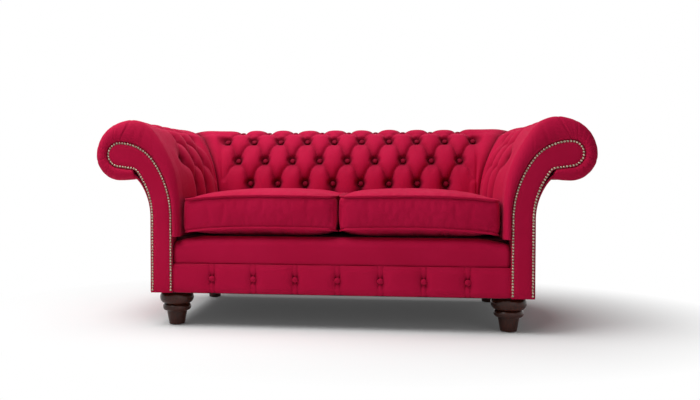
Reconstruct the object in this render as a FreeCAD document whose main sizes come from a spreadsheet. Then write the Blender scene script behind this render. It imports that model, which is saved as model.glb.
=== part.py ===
"""Two-seat chesterfield sofa: hardwood frame, zigzag springs, deep-buttoned arms and back, nailed
facings, loose seat cushions and turned feet.

The model frame has X to the sitter's left-hand side as seen from the front of the sofa (the viewer's
right), Y towards the back and Z up.  The origin is on the floor below the middle of the whole sofa.
Inside this file a place is also given as "reach" and "height": reach is the distance outwards from
the inner face of an arm, or backwards from the inner face of the back, so that the arms and the back
share one outline.  Depths are measured backwards from the plane of the arm facings.
"""

import FreeCAD, Part
import Sketcher
import math
import os

from FreeCAD import Rotation, Vector

# Driving dimensions, in millimetres and degrees.
DIMENSIONS = [
    ("inner_half_width", 552.0),
    ("seat_depth", 560.0),
    ("arm_height", 725.0),
    ("leg_height", 120.0),
    ("deck_thickness", 25.0),
    ("base_gap", 1.6),
    ("roll_reach", 298.0),
    ("roll_top_radius", 126.0),
    ("roll_under_radius", 84.0),
    ("roll_under_run", 59.0),
    ("roll_under_rise", 7.0),
    ("lean_start_height", 430.0),
    ("lean_angle", 40.0),
    ("arm_base_width", 104.5),
    ("back_base_width", 200.0),
    ("flare_start_height", 385.0),
    ("side_padding", 25.0),
    ("top_padding", 77.0),
    ("nose_padding", 41.0),
    ("under_padding", 43.0),
    ("neck_padding", 18.0),
    ("facing_lean_drop", 45.0),
    ("facing_lean_angle", 35.0),
    ("facing_under_slope", 8.0),
    ("facing_neck_radius", 20.0),
    ("facing_thickness", 15.0),
    ("facing_recess", 10.0),
    ("front_bulge", 12.0),
    ("outside_panel_thickness", 4.5),
    ("fit_clearance", 0.3),
    ("cover_clearance", 1.0),
    ("tuft_depth", 26.0),
    ("roll_tuft_depth", 15.0),
    ("pad_swell", 28.0),
    ("arm_swell_front", 14.0),
    ("arm_swell_rear", 26.0),
    ("back_button_pitch", 114.0),
    ("arm_first_button", 190.0),
    ("corner_radius", 39.0),
    ("corner_swell", 24.0),
    ("corner_crease", 14.0),
    ("arm_plain_front", 60.0),
    ("row_low_turn", 9.6),
    ("row_middle_turn", 23.8),
    ("row_high_turn", 38.4),
    ("row_crest_turn", 78.0),
    ("button_diameter", 22.0),
    ("button_height", 6.0),
    ("nail_diameter", 9.0),
    ("nail_height", 3.0),
    ("nail_pitch", 10.0),
    ("nail_edge_distance", 4.6),
    ("post_thickness", 28.0),
    ("rail_thickness", 28.0),
    ("rail_height", 164.0),
    ("front_rail_depth", 30.0),
    ("side_rail_reach", 48.0),
    ("top_rail_size", 46.0),
    ("stuffing_rail_width", 22.0),
    ("stuffing_rail_height", 45.0),
    ("base_rail_height", 60.0),
    ("brace_width", 40.0),
    ("brace_height", 70.0),
    ("rib_offset", 475.0),
    ("corner_block_leg", 78.0),
    ("corner_block_height", 60.0),
    ("webbing_width", 50.0),
    ("webbing_thickness", 2.5),
    ("border_height", 102.0),
    ("border_depth", 4.0),
    ("border_button_pitch", 145.5),
    ("border_pleat_width", 12.0),
    ("border_pleat_depth", 6.0),
    ("lip_depth", 9.0),
    ("lip_radius", 34.0),
    ("lip_bulge", 5.0),
    ("lip_corner_drop", 20.0),
    ("cushion_half_gap", 1.5),
    ("cushion_side_gap", 12.0),
    ("cushion_taper", 28.0),
    ("cushion_front", 2.0),
    ("cushion_back_gap", 5.0),
    ("cushion_box_height", 107.0),
    ("cushion_crown", 36.0),
    ("cushion_belly", 17.0),
    ("cushion_corner_radius", 26.0),
    ("cushion_seam_rise", 18.0),
    ("cushion_side_bulge", 6.0),
    ("piping_diameter", 6.0),
    ("piping_clearance", 0.8),
    ("spring_wire", 3.8),
    ("spring_width", 46.0),
    ("spring_loop_radius", 11.0),
    ("spring_pitch", 120.0),
    ("clip_width", 20.0),
    ("clip_length", 18.0),
    ("clip_thickness", 1.2),
    ("front_leg_x", 579.0),
    ("front_leg_depth", 72.0),
    ("leg_top_radius", 47.0),
    ("leg_bulge_radius", 60.0),
    ("leg_bulge_height", 45.0),
    ("leg_ring_radius", 50.0),
    ("leg_ring_height", 25.0),
    ("leg_neck_radius", 43.0),
    ("leg_taper_radius", 36.0),
    ("leg_foot_radius", 28.0),
    ("rear_leg_x", 585.0),
    ("rear_leg_inset", 16.0),
    ("rear_leg_top", 62.0),
    ("rear_leg_foot", 50.0),
    ("bolt_diameter", 8.0),
    ("bolt_in_leg", 34.0),
    ("nut_flange_diameter", 22.0),
    ("nut_flange_thickness", 1.5),
    ("nut_diameter", 12.0),
    ("nut_height", 7.0),
    ("glide_diameter", 32.0),
    ("glide_thickness", 3.0),
    ("dust_cover_thickness", 1.0),
]

doc = FreeCAD.newDocument("chesterfield_sofa")
sheet = doc.addObject("Spreadsheet::Sheet", "dims")
for row, (alias, value) in enumerate(DIMENSIONS, start=1):
    sheet.set(f"A{row}", alias)
    sheet.set(f"B{row}", f"{value}")
    sheet.setAlias(f"B{row}", alias)
doc.recompute()


class Sizes:
    """The sheet's numbers, by name."""

    def __getattr__(self, name):
        return float(sheet.get(name))


d = Sizes()
SUBPARTS = []

# Places that several pieces share, worked out from the sheet.
CREST_REACH = d.roll_reach - d.roll_top_radius
WHOLE_DEPTH = d.front_bulge + d.seat_depth + d.roll_reach
FACE_Y = d.front_bulge - WHOLE_DEPTH / 2
BASE_Z = d.leg_height + d.base_gap
RAIL_TOP = BASE_Z + d.rail_height
CLIP_HEIGHT = d.spring_wire + 2 * d.clip_thickness + 2 * d.fit_clearance
DECK_BOTTOM = RAIL_TOP + CLIP_HEIGHT + 2 * d.fit_clearance
DECK_TOP = DECK_BOTTOM + d.deck_thickness
PAD_FOOT = DECK_TOP + d.fit_clearance
STUFFING_TOP = DECK_BOTTOM + d.stuffing_rail_height
POST_INSET = d.webbing_thickness + 2 * d.fit_clearance - d.cover_clearance
ROLL_EXTREME_Z = d.arm_height - d.roll_top_radius
ROLL_BOTTOM_Z = ROLL_EXTREME_Z - d.roll_under_radius
ROLL_BOTTOM_REACH = d.roll_reach - d.roll_under_radius
NECK = (ROLL_BOTTOM_REACH - d.roll_under_run, ROLL_BOTTOM_Z + d.roll_under_rise)
FACING_OUTER = d.arm_base_width - d.outside_panel_thickness - d.cover_clearance
UNDER_SWEEP = 2 * math.degrees(math.atan2(d.roll_under_rise, d.roll_under_run))
UNDER_RADIUS = d.roll_under_run / math.sin(math.radians(UNDER_SWEEP))

# The same shared places as expressions of the sheet's cells, for the pieces that are bound to them.
FACE_Y_CELL = "((dims.front_bulge - dims.seat_depth - dims.roll_reach) / 2)"
BASE_Z_CELL = "(dims.leg_height + dims.base_gap)"
RAIL_TOP_CELL = f"({BASE_Z_CELL} + dims.rail_height)"
POST_REACH_CELL = (
    "(dims.side_padding + dims.webbing_thickness + 2 * dims.fit_clearance - dims.cover_clearance)"
)
DECK_BOTTOM_CELL = (
    f"({RAIL_TOP_CELL} + dims.spring_wire + 2 * dims.clip_thickness + 4 * dims.fit_clearance)"
)
STUFFING_TOP_CELL = f"({DECK_BOTTOM_CELL} + dims.stuffing_rail_height)"


def keep(obj, label):
    """Marks an object as a sub-part that is written to parts/LABEL.step."""
    obj.Label = label
    SUBPARTS.append(obj)
    return obj


def feature(label, shape):
    """A sub-part whose shape is worked out here, with its own placement at the origin."""
    obj = doc.addObject("Part::Feature", label)
    obj.Shape = shape
    obj.Placement = FreeCAD.Placement()
    return keep(obj, label)


def block(label, low, high):
    """A rectangular piece between two corners, each given as three expressions of the sheet."""
    obj = doc.addObject("Part::Box", label)
    for name, a, b in zip(("Length", "Width", "Height"), low, high):
        obj.setExpression(name, f"({b}) - ({a})")
    for name, a in zip("xyz", low):
        obj.setExpression(f"Placement.Base.{name}", a)
    return obj


def turned_arcs(start, reach, rise, angle):
    """Radii of two tangent arcs that leave `start` upwards, change over at `angle` and end level."""
    s, c = math.sin(math.radians(angle)), math.cos(math.radians(angle))
    determinant = s * c - (1 - s) * (1 - c)
    first = (rise * c - (1 - s) * reach) / determinant
    second = (s * reach - (1 - c) * rise) / determinant
    return first, second


LEAN_RADIUS, SHOULDER_RADIUS = turned_arcs(
    0, CREST_REACH, d.arm_height - d.lean_start_height, d.lean_angle
)


def arc_step(point, radius, turn_from, turn_to):
    """The point reached from `point` along an arc that turns outwards, as the heading goes from
    turn_from to turn_to degrees away from straight up."""
    a, b = math.radians(turn_from), math.radians(turn_to)
    return (
        point[0] + radius * (math.cos(a) - math.cos(b)),
        point[1] + radius * (math.sin(b) - math.sin(a)),
    )


def outline_point(turn, offset=0.0):
    """A point of the padded outline, where its heading is `turn` degrees from straight up, moved
    out of the padding by `offset`."""
    pieces = (
        (0.0, d.lean_angle, LEAN_RADIUS),
        (d.lean_angle, 90.0, SHOULDER_RADIUS),
        (90.0, 180.0, d.roll_top_radius),
        (180.0, 270.0, d.roll_under_radius),
        (270.0, 270.0 + UNDER_SWEEP, UNDER_RADIUS),
    )
    point = (0.0, d.lean_start_height)
    for low, high, radius in pieces:
        point = arc_step(point, radius, low, min(turn, high))
        if turn <= high:
            break
    heading = math.radians(turn)
    return (
        point[0] - offset * math.cos(heading),
        point[1] + offset * math.sin(heading),
    )


def facing_points(inset):
    """Corner points of the arm facing's outline, drawn in by `inset`, with a point on each arc."""
    nose = (d.arm_height - d.top_padding - ROLL_BOTTOM_Z - d.under_padding) / 2
    inner = d.side_padding
    start_z = d.lean_start_height - d.facing_lean_drop
    crest = (d.roll_reach - d.nose_padding - nose, d.arm_height - d.top_padding)
    angle = d.facing_lean_angle
    lean, shoulder = turned_arcs(inner, crest[0] - inner, crest[1] - start_z, angle)
    nose_end_turn = 270 - d.facing_under_slope
    points = {"inner_foot": (inner + inset, BASE_Z), "inner_start": (inner + inset, start_z)}

    def run(name, point, radius, turn_from, turn_to):
        points[name + "_middle"] = arc_step(
            point, radius, turn_from, (turn_from + turn_to) / 2
        )
        points[name] = arc_step(point, radius, turn_from, turn_to)
        return points[name]

    here = run("lean", points["inner_start"], lean - inset, 0, angle)
    here = run("crest", here, shoulder - inset, angle, 90)
    here = run("nose", here, nose - inset, 90, 180)
    here = run("under", here, nose - inset, 180, nose_end_turn)
    # The neck fillet touches the straight underside and the outer flare.
    flare_run, flare_rise = NECK[0] - d.neck_padding - FACING_OUTER, NECK[1] - d.flare_start_height
    flare = (flare_run**2 + flare_rise**2) / (2 * flare_run)
    centre = (FACING_OUTER + flare, d.flare_start_height)
    flare += inset
    fillet = d.facing_neck_radius + inset
    heading = math.radians(nose_end_turn)
    along, normal = (math.sin(heading), math.cos(heading)), (-math.cos(heading), math.sin(heading))
    offset = (
        here[0] + fillet * normal[0] - centre[0],
        here[1] + fillet * normal[1] - centre[1],
    )
    b = offset[0] * along[0] + offset[1] * along[1]
    c = offset[0] ** 2 + offset[1] ** 2 - (flare - fillet) ** 2
    length = -b + math.sqrt(b * b - c)
    fillet_centre = (
        here[0] + length * along[0] + fillet * normal[0],
        here[1] + length * along[1] + fillet * normal[1],
    )
    points["under_end"] = (here[0] + length * along[0], here[1] + length * along[1])
    away = math.atan2(fillet_centre[1] - centre[1], fillet_centre[0] - centre[0])
    points["neck"] = (
        centre[0] + flare * math.cos(away),
        centre[1] + flare * math.sin(away),
    )
    start = math.atan2(
        points["under_end"][1] - fillet_centre[1], points["under_end"][0] - fillet_centre[0]
    )
    middle = (start + away) / 2
    points["neck_middle"] = (
        fillet_centre[0] + fillet * math.cos(middle),
        fillet_centre[1] + fillet * math.sin(middle),
    )
    half = (away + math.pi) / 2
    points["outer_middle"] = (
        centre[0] + flare * math.cos(half),
        centre[1] + flare * math.sin(half),
    )
    points["outer_start"] = (FACING_OUTER - inset, d.flare_start_height)
    points["outer_foot"] = (FACING_OUTER - inset, BASE_Z)
    return points


def along_arm(side):
    """Maps reach, height and depth to the model frame on the arm at side +1 or -1."""
    return lambda reach, height, depth: Vector(
        side * (d.inner_half_width + reach), FACE_Y + depth, height
    )


def along_back(reach, height, across):
    """Maps reach, height and the place across the sofa to the model frame on the back."""
    return Vector(across, FACE_Y + d.seat_depth + reach, height)


def turned_corner(side, along, reach, height, angle):
    """A place on the padding where it turns the rear corner, `angle` degrees from the arm (along
    is "arm") or from the back.  The two pads stop short of the middle of the corner by half a gap."""
    radius = d.corner_radius + reach
    a = math.radians(angle if along == "arm" else 90 - angle)
    x, y = radius * math.cos(a), radius * math.sin(a)
    if angle >= 45:
        shift = d.fit_clearance / 2 * math.sqrt(0.5)
        x, y = (x + shift, y - shift) if along == "arm" else (x - shift, y + shift)
    return Vector(
        side * (d.inner_half_width - d.corner_radius + x),
        FACE_Y + d.seat_depth - d.corner_radius + y,
        height,
    )


def round_arm(side):
    """Like along_arm, but beyond the straight run each further millimetre is a degree of turn."""
    straight = d.seat_depth - d.corner_radius

    def place(reach, height, depth):
        if depth <= straight:
            return along_arm(side)(reach, height, depth)
        return turned_corner(side, "arm", reach, height, depth - straight)

    return place


def round_back(reach, height, across):
    """Like along_back, but beyond the straight run each further millimetre is a degree of turn."""
    straight = d.inner_half_width - d.corner_radius
    if abs(across) <= straight:
        return along_back(reach, height, across)
    side = 1 if across > 0 else -1
    return turned_corner(side, "back", reach, height, abs(across) - straight)


def line(a, b):
    return Part.LineSegment(a, b).toShape()


def arc(a, b, c):
    return Part.Arc(a, b, c).toShape()


def facing_edges(place, station, inset, foot=None):
    """The facing's outline from its inner foot, over the scroll, to its outer foot, as edges."""
    p = {name: place(r, z, station) for name, (r, z) in facing_points(inset).items()}
    inner_foot, outer_foot = p["inner_foot"], p["outer_foot"]
    if foot is not None:
        inner_foot = Vector(inner_foot.x, inner_foot.y, foot)
        outer_foot = Vector(outer_foot.x, outer_foot.y, foot)
    return [
        line(inner_foot, p["inner_start"]),
        arc(p["inner_start"], p["lean_middle"], p["lean"]),
        arc(p["lean"], p["crest_middle"], p["crest"]),
        arc(p["crest"], p["nose_middle"], p["nose"]),
        arc(p["nose"], p["under_middle"], p["under"]),
        line(p["under"], p["under_end"]),
        arc(p["under_end"], p["neck_middle"], p["neck"]),
        arc(p["neck"], p["outer_middle"], p["outer_start"]),
        line(p["outer_start"], outer_foot),
    ]


def scroll_board(place, low, high, inset, foot=None):
    """A board cut to the facing's outline, from station `low` to station `high`."""
    edges = facing_edges(place, low, inset, foot)
    closing = line(edges[-1].Vertexes[-1].Point, edges[0].Vertexes[0].Point)
    face = Part.Face(Part.Wire(edges + [closing]))
    return face.extrude(place(0, 0, high) - place(0, 0, low))


def swell_at(turn, swell):
    """How far the padding swells out of the outline: fully at the seat, fading over the top."""
    return swell * math.cos(math.radians(min(90.0, 1.6 * turn)))


def pad_section(place, station, column, depth, swell, end_inset):
    """One closed section of a buttoned pad.

    Each section has the same edges.  At an "odd" column the buttons of the low and high rows pull
    the padding in, and at an "even" column those of the middle and crest rows.  The straight edges
    between two columns are the pleats, so every diamond comes from two sections.
    """
    seat_half = math.degrees(d.button_diameter / 2 / LEAN_RADIUS)

    def crown(turn):
        return swell_at(turn, swell) - end_inset

    def valley(turn, share=1.0):
        full = d.tuft_depth if turn <= d.lean_angle + seat_half else d.roll_tuft_depth
        return crown(turn) - depth * share * full

    low, middle, high, crest = (
        d.row_low_turn,
        d.row_middle_turn,
        d.row_high_turn,
        d.row_crest_turn,
    )
    if column == "odd":
        knots = [(0, valley(0, 0.6)), (low, valley(low)), (high - seat_half, valley(high))]
        knots += [(high + seat_half, valley(high)), (90, crown(90))]
        knots += [(135, crown(135)), (180, crown(180)), (270, crown(270))]
        bulges = [
            (low / 2, valley(0, 0.7)),
            ((low + high) / 2, crown(middle)),
            (high, valley(high) + 1),
            ((high + 90) / 2, crown(60)),
        ]
        foot_offset = valley(0, 0.5)
        share = 0.0
    else:
        knots = [(0, crown(0)), (middle - seat_half, valley(middle))]
        knots += [(middle + seat_half, valley(middle))]
        knots += [(crest, valley(crest)), (90, valley(90, 0.9))]
        knots += [(135, valley(135, 0.8)), (180, valley(180, 0.7)), (270, valley(270, 0.4))]
        bulges = [
            (low, crown(low)),
            (middle, valley(middle) + 1),
            (high - 2, crown(high)),
            ((crest + 90) / 2, valley(85)),
        ]
        foot_offset = crown(0)
        share = 1.0
    bulges += [
        (112, valley(112, 0.85 * share)),
        (157, valley(157, 0.75 * share)),
        (225, valley(225, 0.5 * share)),
        (270 + UNDER_SWEEP / 2, valley(275, 0.2 * share)),
    ]
    outer = [place(-foot_offset, PAD_FOOT, station)]
    outer += [place(*outline_point(turn, offset), station) for turn, offset in knots]
    outer.append(place(*outline_point(270 + UNDER_SWEEP, -end_inset), station))
    through = [place(*outline_point(turn, offset), station) for turn, offset in bulges]
    edges = [line(outer[0], outer[1])]
    edges += [arc(a, m, b) for a, m, b in zip(outer[1:], through, outer[2:])]
    inner = {
        name: place(r, z, station)
        for name, (r, z) in facing_points(-d.cover_clearance).items()
    }
    foot = place(d.side_padding - d.cover_clearance, PAD_FOOT, station)
    edges += [
        line(outer[-1], inner["under_end"]),
        line(inner["under_end"], inner["under"]),
        arc(inner["under"], inner["under_middle"], inner["nose"]),
        arc(inner["nose"], inner["nose_middle"], inner["crest"]),
        arc(inner["crest"], inner["crest_middle"], inner["lean"]),
        arc(inner["lean"], inner["lean_middle"], inner["inner_start"]),
        line(inner["inner_start"], foot),
        line(foot, outer[0]),
    ]
    return Part.Wire(edges)


def cap(foot, direction, diameter, height):
    """A low dome with a flat foot: a nail head or a covered button."""
    radius = (diameter**2 / 4 + height**2) / (2 * height)
    edge = math.degrees(math.asin((radius - height) / radius))
    axis = Vector(direction).normalize()
    return Part.makeSphere(radius, foot - axis * (radius - height), axis, edge, 90, 360)


def button_places(place, stations, straight):
    """Where the buttons of a pad sit and which way they face.

    stations holds (place along, column, swell).  The last column before a corner has only its
    high button.
    """
    rows = {
        "odd": (d.row_low_turn, d.row_high_turn),
        "even": (d.row_middle_turn, d.row_crest_turn),
    }
    found = []
    for station, column, swell in stations:
        for turn in rows[column]:
            if turn == d.row_low_turn and abs(station) > straight - d.button_diameter:
                continue
            depth = d.tuft_depth if turn <= d.lean_angle else d.roll_tuft_depth
            lift = swell_at(turn, swell) - depth
            foot = place(*outline_point(turn, lift), station)
            ahead = place(*outline_point(turn, lift + 1), station)
            found.append((foot, ahead - foot))
    return found


def seated_buttons(pad, places):
    """Cuts a seat for each button in the pad and returns the pad and the buttons."""
    seats, buttons = [], []
    radius = d.button_diameter / 2 + d.fit_clearance
    for foot, direction in places:
        floor = foot - direction * d.fit_clearance
        seats.append(Part.makeCylinder(radius, d.tuft_depth, floor, direction))
        buttons.append(cap(foot, direction, d.button_diameter, d.button_height))
    return pad.cut(Part.makeCompound(seats)), Part.makeCompound(buttons)


def loft(sections):
    return Part.makeLoft(sections, True, True)


def corner_stations(straight):
    """Stations round half of a rear corner: full in between, creased where the two pads meet."""
    steps = ((0.25, 0.0), (0.5, 0.0), (0.75, 0.25), (0.92, 0.6), (1.0, 1.0))
    return [
        (straight + 45 * share, "even", 0.0, d.corner_swell, d.corner_crease * crease)
        for share, crease in steps
    ]


def arm_stations():
    """Stations of an arm pad from its rounded front end to the middle of the rear corner, as
    place, column, depth of the tufts, swell and how far the end is drawn in."""
    straight = d.seat_depth - d.corner_radius
    half = (straight - d.arm_first_button) / 5
    stations = [
        (-d.front_bulge, "even", 0.0, 0.0, 17.0),
        (-0.7 * d.front_bulge, "even", 0.0, 0.0, 8.0),
        (0.0, "even", 0.0, 0.0, 2.5),
        (d.front_bulge, "even", 0.0, 0.0, 0.0),
        (d.arm_plain_front, "even", 0.0, 0.0, 0.0),
        ((d.arm_plain_front + d.arm_first_button) / 2, "even", 0.0, d.arm_swell_front / 2, 0.0),
    ]
    for index in range(6):
        swell = d.arm_swell_front + (d.arm_swell_rear - d.arm_swell_front) * index / 5
        column = "odd" if index % 2 else "even"
        stations.append((d.arm_first_button + index * half, column, 1.0, swell, 0.0))
    return stations + corner_stations(straight)


def back_stations():
    """Stations of the back pad, from the middle of one rear corner to the middle of the other."""
    straight = d.inner_half_width - d.corner_radius
    half = d.back_button_pitch / 2
    count = int(straight / half + 1e-6)
    corner = corner_stations(straight)
    left = [(-s[0], *s[1:]) for s in reversed(corner)]
    middle = [
        (index * half, "odd" if index % 2 else "even", 1.0, d.pad_swell, 0.0)
        for index in range(-count, count + 1)
    ]
    return left + middle + corner


def make_pad(place, stations, straight):
    """A buttoned pad and its buttons."""
    pad = loft([pad_section(place, *station) for station in stations])
    columns = [(s[0], s[1], s[3]) for s in stations if s[2] == 1.0]
    return seated_buttons(pad, button_places(place, columns, straight))


def flare_arc(reach, radius, top, place, station):
    """A cover's curve from the start of the flare, at `reach`, up to the height `top`."""
    points = []
    for share in (0, 0.5, 1):
        rise = (top - d.flare_start_height) * share
        out = reach + radius - math.sqrt(radius**2 - rise**2)
        points.append(place(out, d.flare_start_height + rise, station))
    return points


def flare_radius(reach, end_reach):
    """Radius of the flare that starts upright at `reach` and reaches `end_reach` at the neck."""
    run, rise = end_reach - reach, NECK[1] - d.flare_start_height
    return (run**2 + rise**2) / (2 * run)


def outside_panel(place, low, high):
    """A thin cover on the outside of an arm, flared out below the roll."""
    inner_reach = FACING_OUTER + d.cover_clearance
    top = NECK[1] - d.cover_clearance
    outer_radius = flare_radius(d.arm_base_width, NECK[0])
    inner_radius = flare_radius(FACING_OUTER, NECK[0] - d.neck_padding) - d.cover_clearance
    outer = flare_arc(d.arm_base_width, outer_radius, top, place, low)
    inner = flare_arc(inner_reach, inner_radius, top, place, low)
    outer_foot = place(d.arm_base_width, BASE_Z, low)
    inner_foot = place(inner_reach, BASE_Z, low)
    edges = [
        line(outer_foot, outer[0]),
        arc(*outer),
        line(outer[2], inner[2]),
        arc(inner[2], inner[1], inner[0]),
        line(inner[0], inner_foot),
        line(inner_foot, outer_foot),
    ]
    return Part.Face(Part.Wire(edges)).extrude(place(0, 0, high) - place(0, 0, low))


def outside_back():
    """The upright cover behind the back, between the two flared sides."""
    depth = d.seat_depth + d.back_base_width
    top = ROLL_BOTTOM_Z - d.cover_clearance
    radius = flare_radius(d.arm_base_width, NECK[0])
    sides = []
    for side in (1, -1):
        place = along_arm(side)
        sides.append((place(d.arm_base_width, BASE_Z, depth),
                      flare_arc(d.arm_base_width, radius, top, place, depth)))
    (right_foot, right), (left_foot, left) = sides
    edges = [
        line(right_foot, right[0]),
        arc(*right),
        line(right[2], left[2]),
        arc(left[2], left[1], left[0]),
        line(left[0], left_foot),
        line(left_foot, right_foot),
    ]
    return Part.Face(Part.Wire(edges)).extrude(Vector(0, -d.outside_panel_thickness, 0))


def webbing_strap(place, low, high):
    """A strap stretched over the frame's inner edge, from the stuffing rail towards the roll."""
    outer_inset = d.fit_clearance - d.cover_clearance
    outside = facing_points(outer_inset)
    inside = facing_points(outer_inset + d.webbing_thickness)
    foot = PAD_FOOT + d.cover_clearance
    p = {name: place(r, z, low) for name, (r, z) in outside.items()}
    q = {name: place(r, z, low) for name, (r, z) in inside.items()}
    p_foot = place(outside["inner_start"][0], foot, low)
    q_foot = place(inside["inner_start"][0], foot, low)
    edges = [
        line(p_foot, p["inner_start"]),
        arc(p["inner_start"], p["lean_middle"], p["lean"]),
        line(p["lean"], q["lean"]),
        arc(q["lean"], q["lean_middle"], q["inner_start"]),
        line(q["inner_start"], q_foot),
        line(q_foot, p_foot),
    ]
    return Part.Face(Part.Wire(edges)).extrude(place(0, 0, high) - place(0, 0, low))


def top_rail_box(place, low, high, slack=0.0):
    """The square rail inside the roll, between two stations, with room around it."""
    core = facing_points(0)
    reach = core["crest"][0] - d.top_rail_size / 2
    height = (core["crest"][1] + core["under"][1] - d.top_rail_size) / 2
    a = place(reach - slack, height - slack, low)
    b = place(reach + d.top_rail_size + slack, height + d.top_rail_size + slack, high)
    corner = Vector(min(a.x, b.x), min(a.y, b.y), min(a.z, b.z))
    return Part.makeBox(abs(a.x - b.x), abs(a.y - b.y), abs(a.z - b.z), corner)


def nail_row(place):
    """Dome-headed nails along the facing's edge, evenly spaced from foot to foot."""
    edges = facing_edges(place, d.facing_recess - d.front_bulge, d.nail_edge_distance)
    path = Part.Wire(edges)
    count = round((path.Length - 2 * d.nail_edge_distance) / d.nail_pitch)
    points = path.discretize(Number=count + 2)[1:-1]
    forwards = Vector(0, -1, 0)
    lift = forwards * (d.fit_clearance / 3)
    heads = [cap(p + lift, forwards, d.nail_diameter, d.nail_height) for p in points]
    return Part.makeCompound(heads)


# Arms: pads, buttons, facings, nails, outside panels, posts, rails and webbing.
POST_FRONT = d.facing_recess - d.front_bulge + d.facing_thickness
STRAIGHT_DEPTH = d.seat_depth - d.corner_radius
STRAIGHT_BACK = d.inner_half_width - d.corner_radius
REAR_POST = STRAIGHT_DEPTH - d.post_thickness
BACK_INNER = d.back_base_width - d.outside_panel_thickness - d.fit_clearance
WHOLE_BACK = d.seat_depth + BACK_INNER

for side, hand in ((1, "right"), (-1, "left")):
    arm = along_arm(side)
    pad, buttons = make_pad(round_arm(side), arm_stations(), STRAIGHT_DEPTH)
    feature(f"{hand}_arm_pad", pad)
    feature(f"{hand}_arm_buttons", buttons)
    facing_front = d.facing_recess - d.front_bulge
    feature(f"{hand}_arm_facing", scroll_board(arm, facing_front, POST_FRONT - d.fit_clearance, 0))
    feature(f"{hand}_facing_nails", nail_row(arm))
    panel = outside_panel(arm, facing_front, WHOLE_BACK)
    # Where the roll turns the rear corner its underside crosses the panel, which ends lower there.
    cut_z = ROLL_BOTTOM_Z - d.cover_clearance
    inner, outer = arm(0, cut_z, STRAIGHT_DEPTH), arm(d.roll_reach, cut_z, STRAIGHT_DEPTH)
    corner = Vector(min(inner.x, outer.x), inner.y, inner.z)
    panel = panel.cut(Part.makeBox(d.roll_reach, d.roll_reach, d.roll_reach, corner))
    feature(f"{hand}_outside_arm_panel", panel)
    front_post = scroll_board(arm, POST_FRONT, POST_FRONT + d.post_thickness, POST_INSET)
    feature(f"{hand}_front_arm_post", front_post)
    rear_post = scroll_board(
        arm, REAR_POST, REAR_POST + d.post_thickness, POST_INSET, STUFFING_TOP + d.fit_clearance
    )
    notch = top_rail_box(arm, REAR_POST - 1, REAR_POST + d.post_thickness + 1, d.fit_clearance)
    feature(f"{hand}_rear_arm_post", rear_post.cut(notch))
    rail = top_rail_box(arm, POST_FRONT + d.post_thickness + d.fit_clearance, STRAIGHT_DEPTH)
    feature(f"{hand}_arm_top_rail", rail)
    first = POST_FRONT + d.post_thickness
    step = (REAR_POST - first) / 3
    centres = [first + step * (k + 0.5) for k in range(3)]
    straps = [
        webbing_strap(arm, c - d.webbing_width / 2, c + d.webbing_width / 2) for c in centres
    ]
    feature(f"{hand}_arm_webbing", Part.makeCompound(straps))

# Back: pad, buttons, ribs, rail, webbing and outside panel.
pad, buttons = make_pad(round_back, back_stations(), STRAIGHT_BACK)
feature("back_pad", pad)
feature("back_buttons", buttons)
feature("outside_back_panel", outside_back())
REAR_RAIL_BACK = d.side_rail_reach + d.rail_thickness


def between(low, high, bottom, top, start, end):
    """A block of the back between two reaches, two heights and two places across."""
    corner = along_back(low, bottom, start)
    return Part.makeBox(end - start, high - low, top - bottom, corner)


for name, centre in (("left", -d.rib_offset), ("centre", 0.0), ("right", d.rib_offset)):
    low, high = centre - d.post_thickness / 2, centre + d.post_thickness / 2
    rib = scroll_board(along_back, low, high, POST_INSET, STUFFING_TOP + d.fit_clearance)
    tail_top = ROLL_BOTTOM_Z - d.cover_clearance
    tail = between(
        REAR_RAIL_BACK + d.fit_clearance, BACK_INNER, BASE_Z, tail_top, low, high
    )
    foot_room = between(
        BACK_INNER - d.rail_thickness - d.fit_clearance,
        BACK_INNER,
        BASE_Z,
        BASE_Z + d.base_rail_height + d.fit_clearance,
        low,
        high,
    )
    notch = top_rail_box(along_back, low - 1, high + 1, d.fit_clearance)
    feature(f"{name}_back_rib", rib.fuse(tail).cut(foot_room).cut(notch).removeSplitter())
feature("back_top_rail", top_rail_box(along_back, -STRAIGHT_BACK, STRAIGHT_BACK))
strap_places = [side * d.rib_offset * share for side in (-1, 1) for share in (0.25, 0.5, 0.75)]
straps = [
    webbing_strap(along_back, x - d.webbing_width / 2, x + d.webbing_width / 2)
    for x in strap_places
]
feature("back_webbing", Part.makeCompound(straps))

# Seat frame: rails, corner posts, brace and stuffing rails, bound to the sheet.
GAP_CELL = "dims.fit_clearance"
POST_X_CELL = f"(dims.inner_half_width + {POST_REACH_CELL})"
SIDE_X_CELL = "(dims.inner_half_width + dims.side_rail_reach)"
BACK_FACE_CELL = f"({FACE_Y_CELL} + dims.seat_depth)"
REAR_Y_CELL = f"({BACK_FACE_CELL} + dims.side_rail_reach)"
CORNER_Y_CELL = f"({BACK_FACE_CELL} + {POST_REACH_CELL})"
FRONT_Y_CELL = f"({FACE_Y_CELL} + dims.front_rail_depth)"
FRONT_RAIL_BACK_CELL = f"({FRONT_Y_CELL} + dims.rail_thickness)"
POST_BACK_CELL = (
    f"({FACE_Y_CELL} + dims.facing_recess - dims.front_bulge + dims.facing_thickness"
    " + dims.post_thickness)"
)
BASE_RAIL_BACK_CELL = (
    f"({BACK_FACE_CELL} + dims.back_base_width - dims.outside_panel_thickness"
    f" - {GAP_CELL})"
)
BASE_RAIL_FRONT_CELL = f"({BASE_RAIL_BACK_CELL} - dims.rail_thickness)"
FRAME_X_CELL = f"({POST_X_CELL} - {GAP_CELL})"
SIDE_TOP_X_CELL = f"({SIDE_X_CELL} - {GAP_CELL})"


def kept_block(label, low, high):
    keep(block(label, low, high), label)


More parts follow.
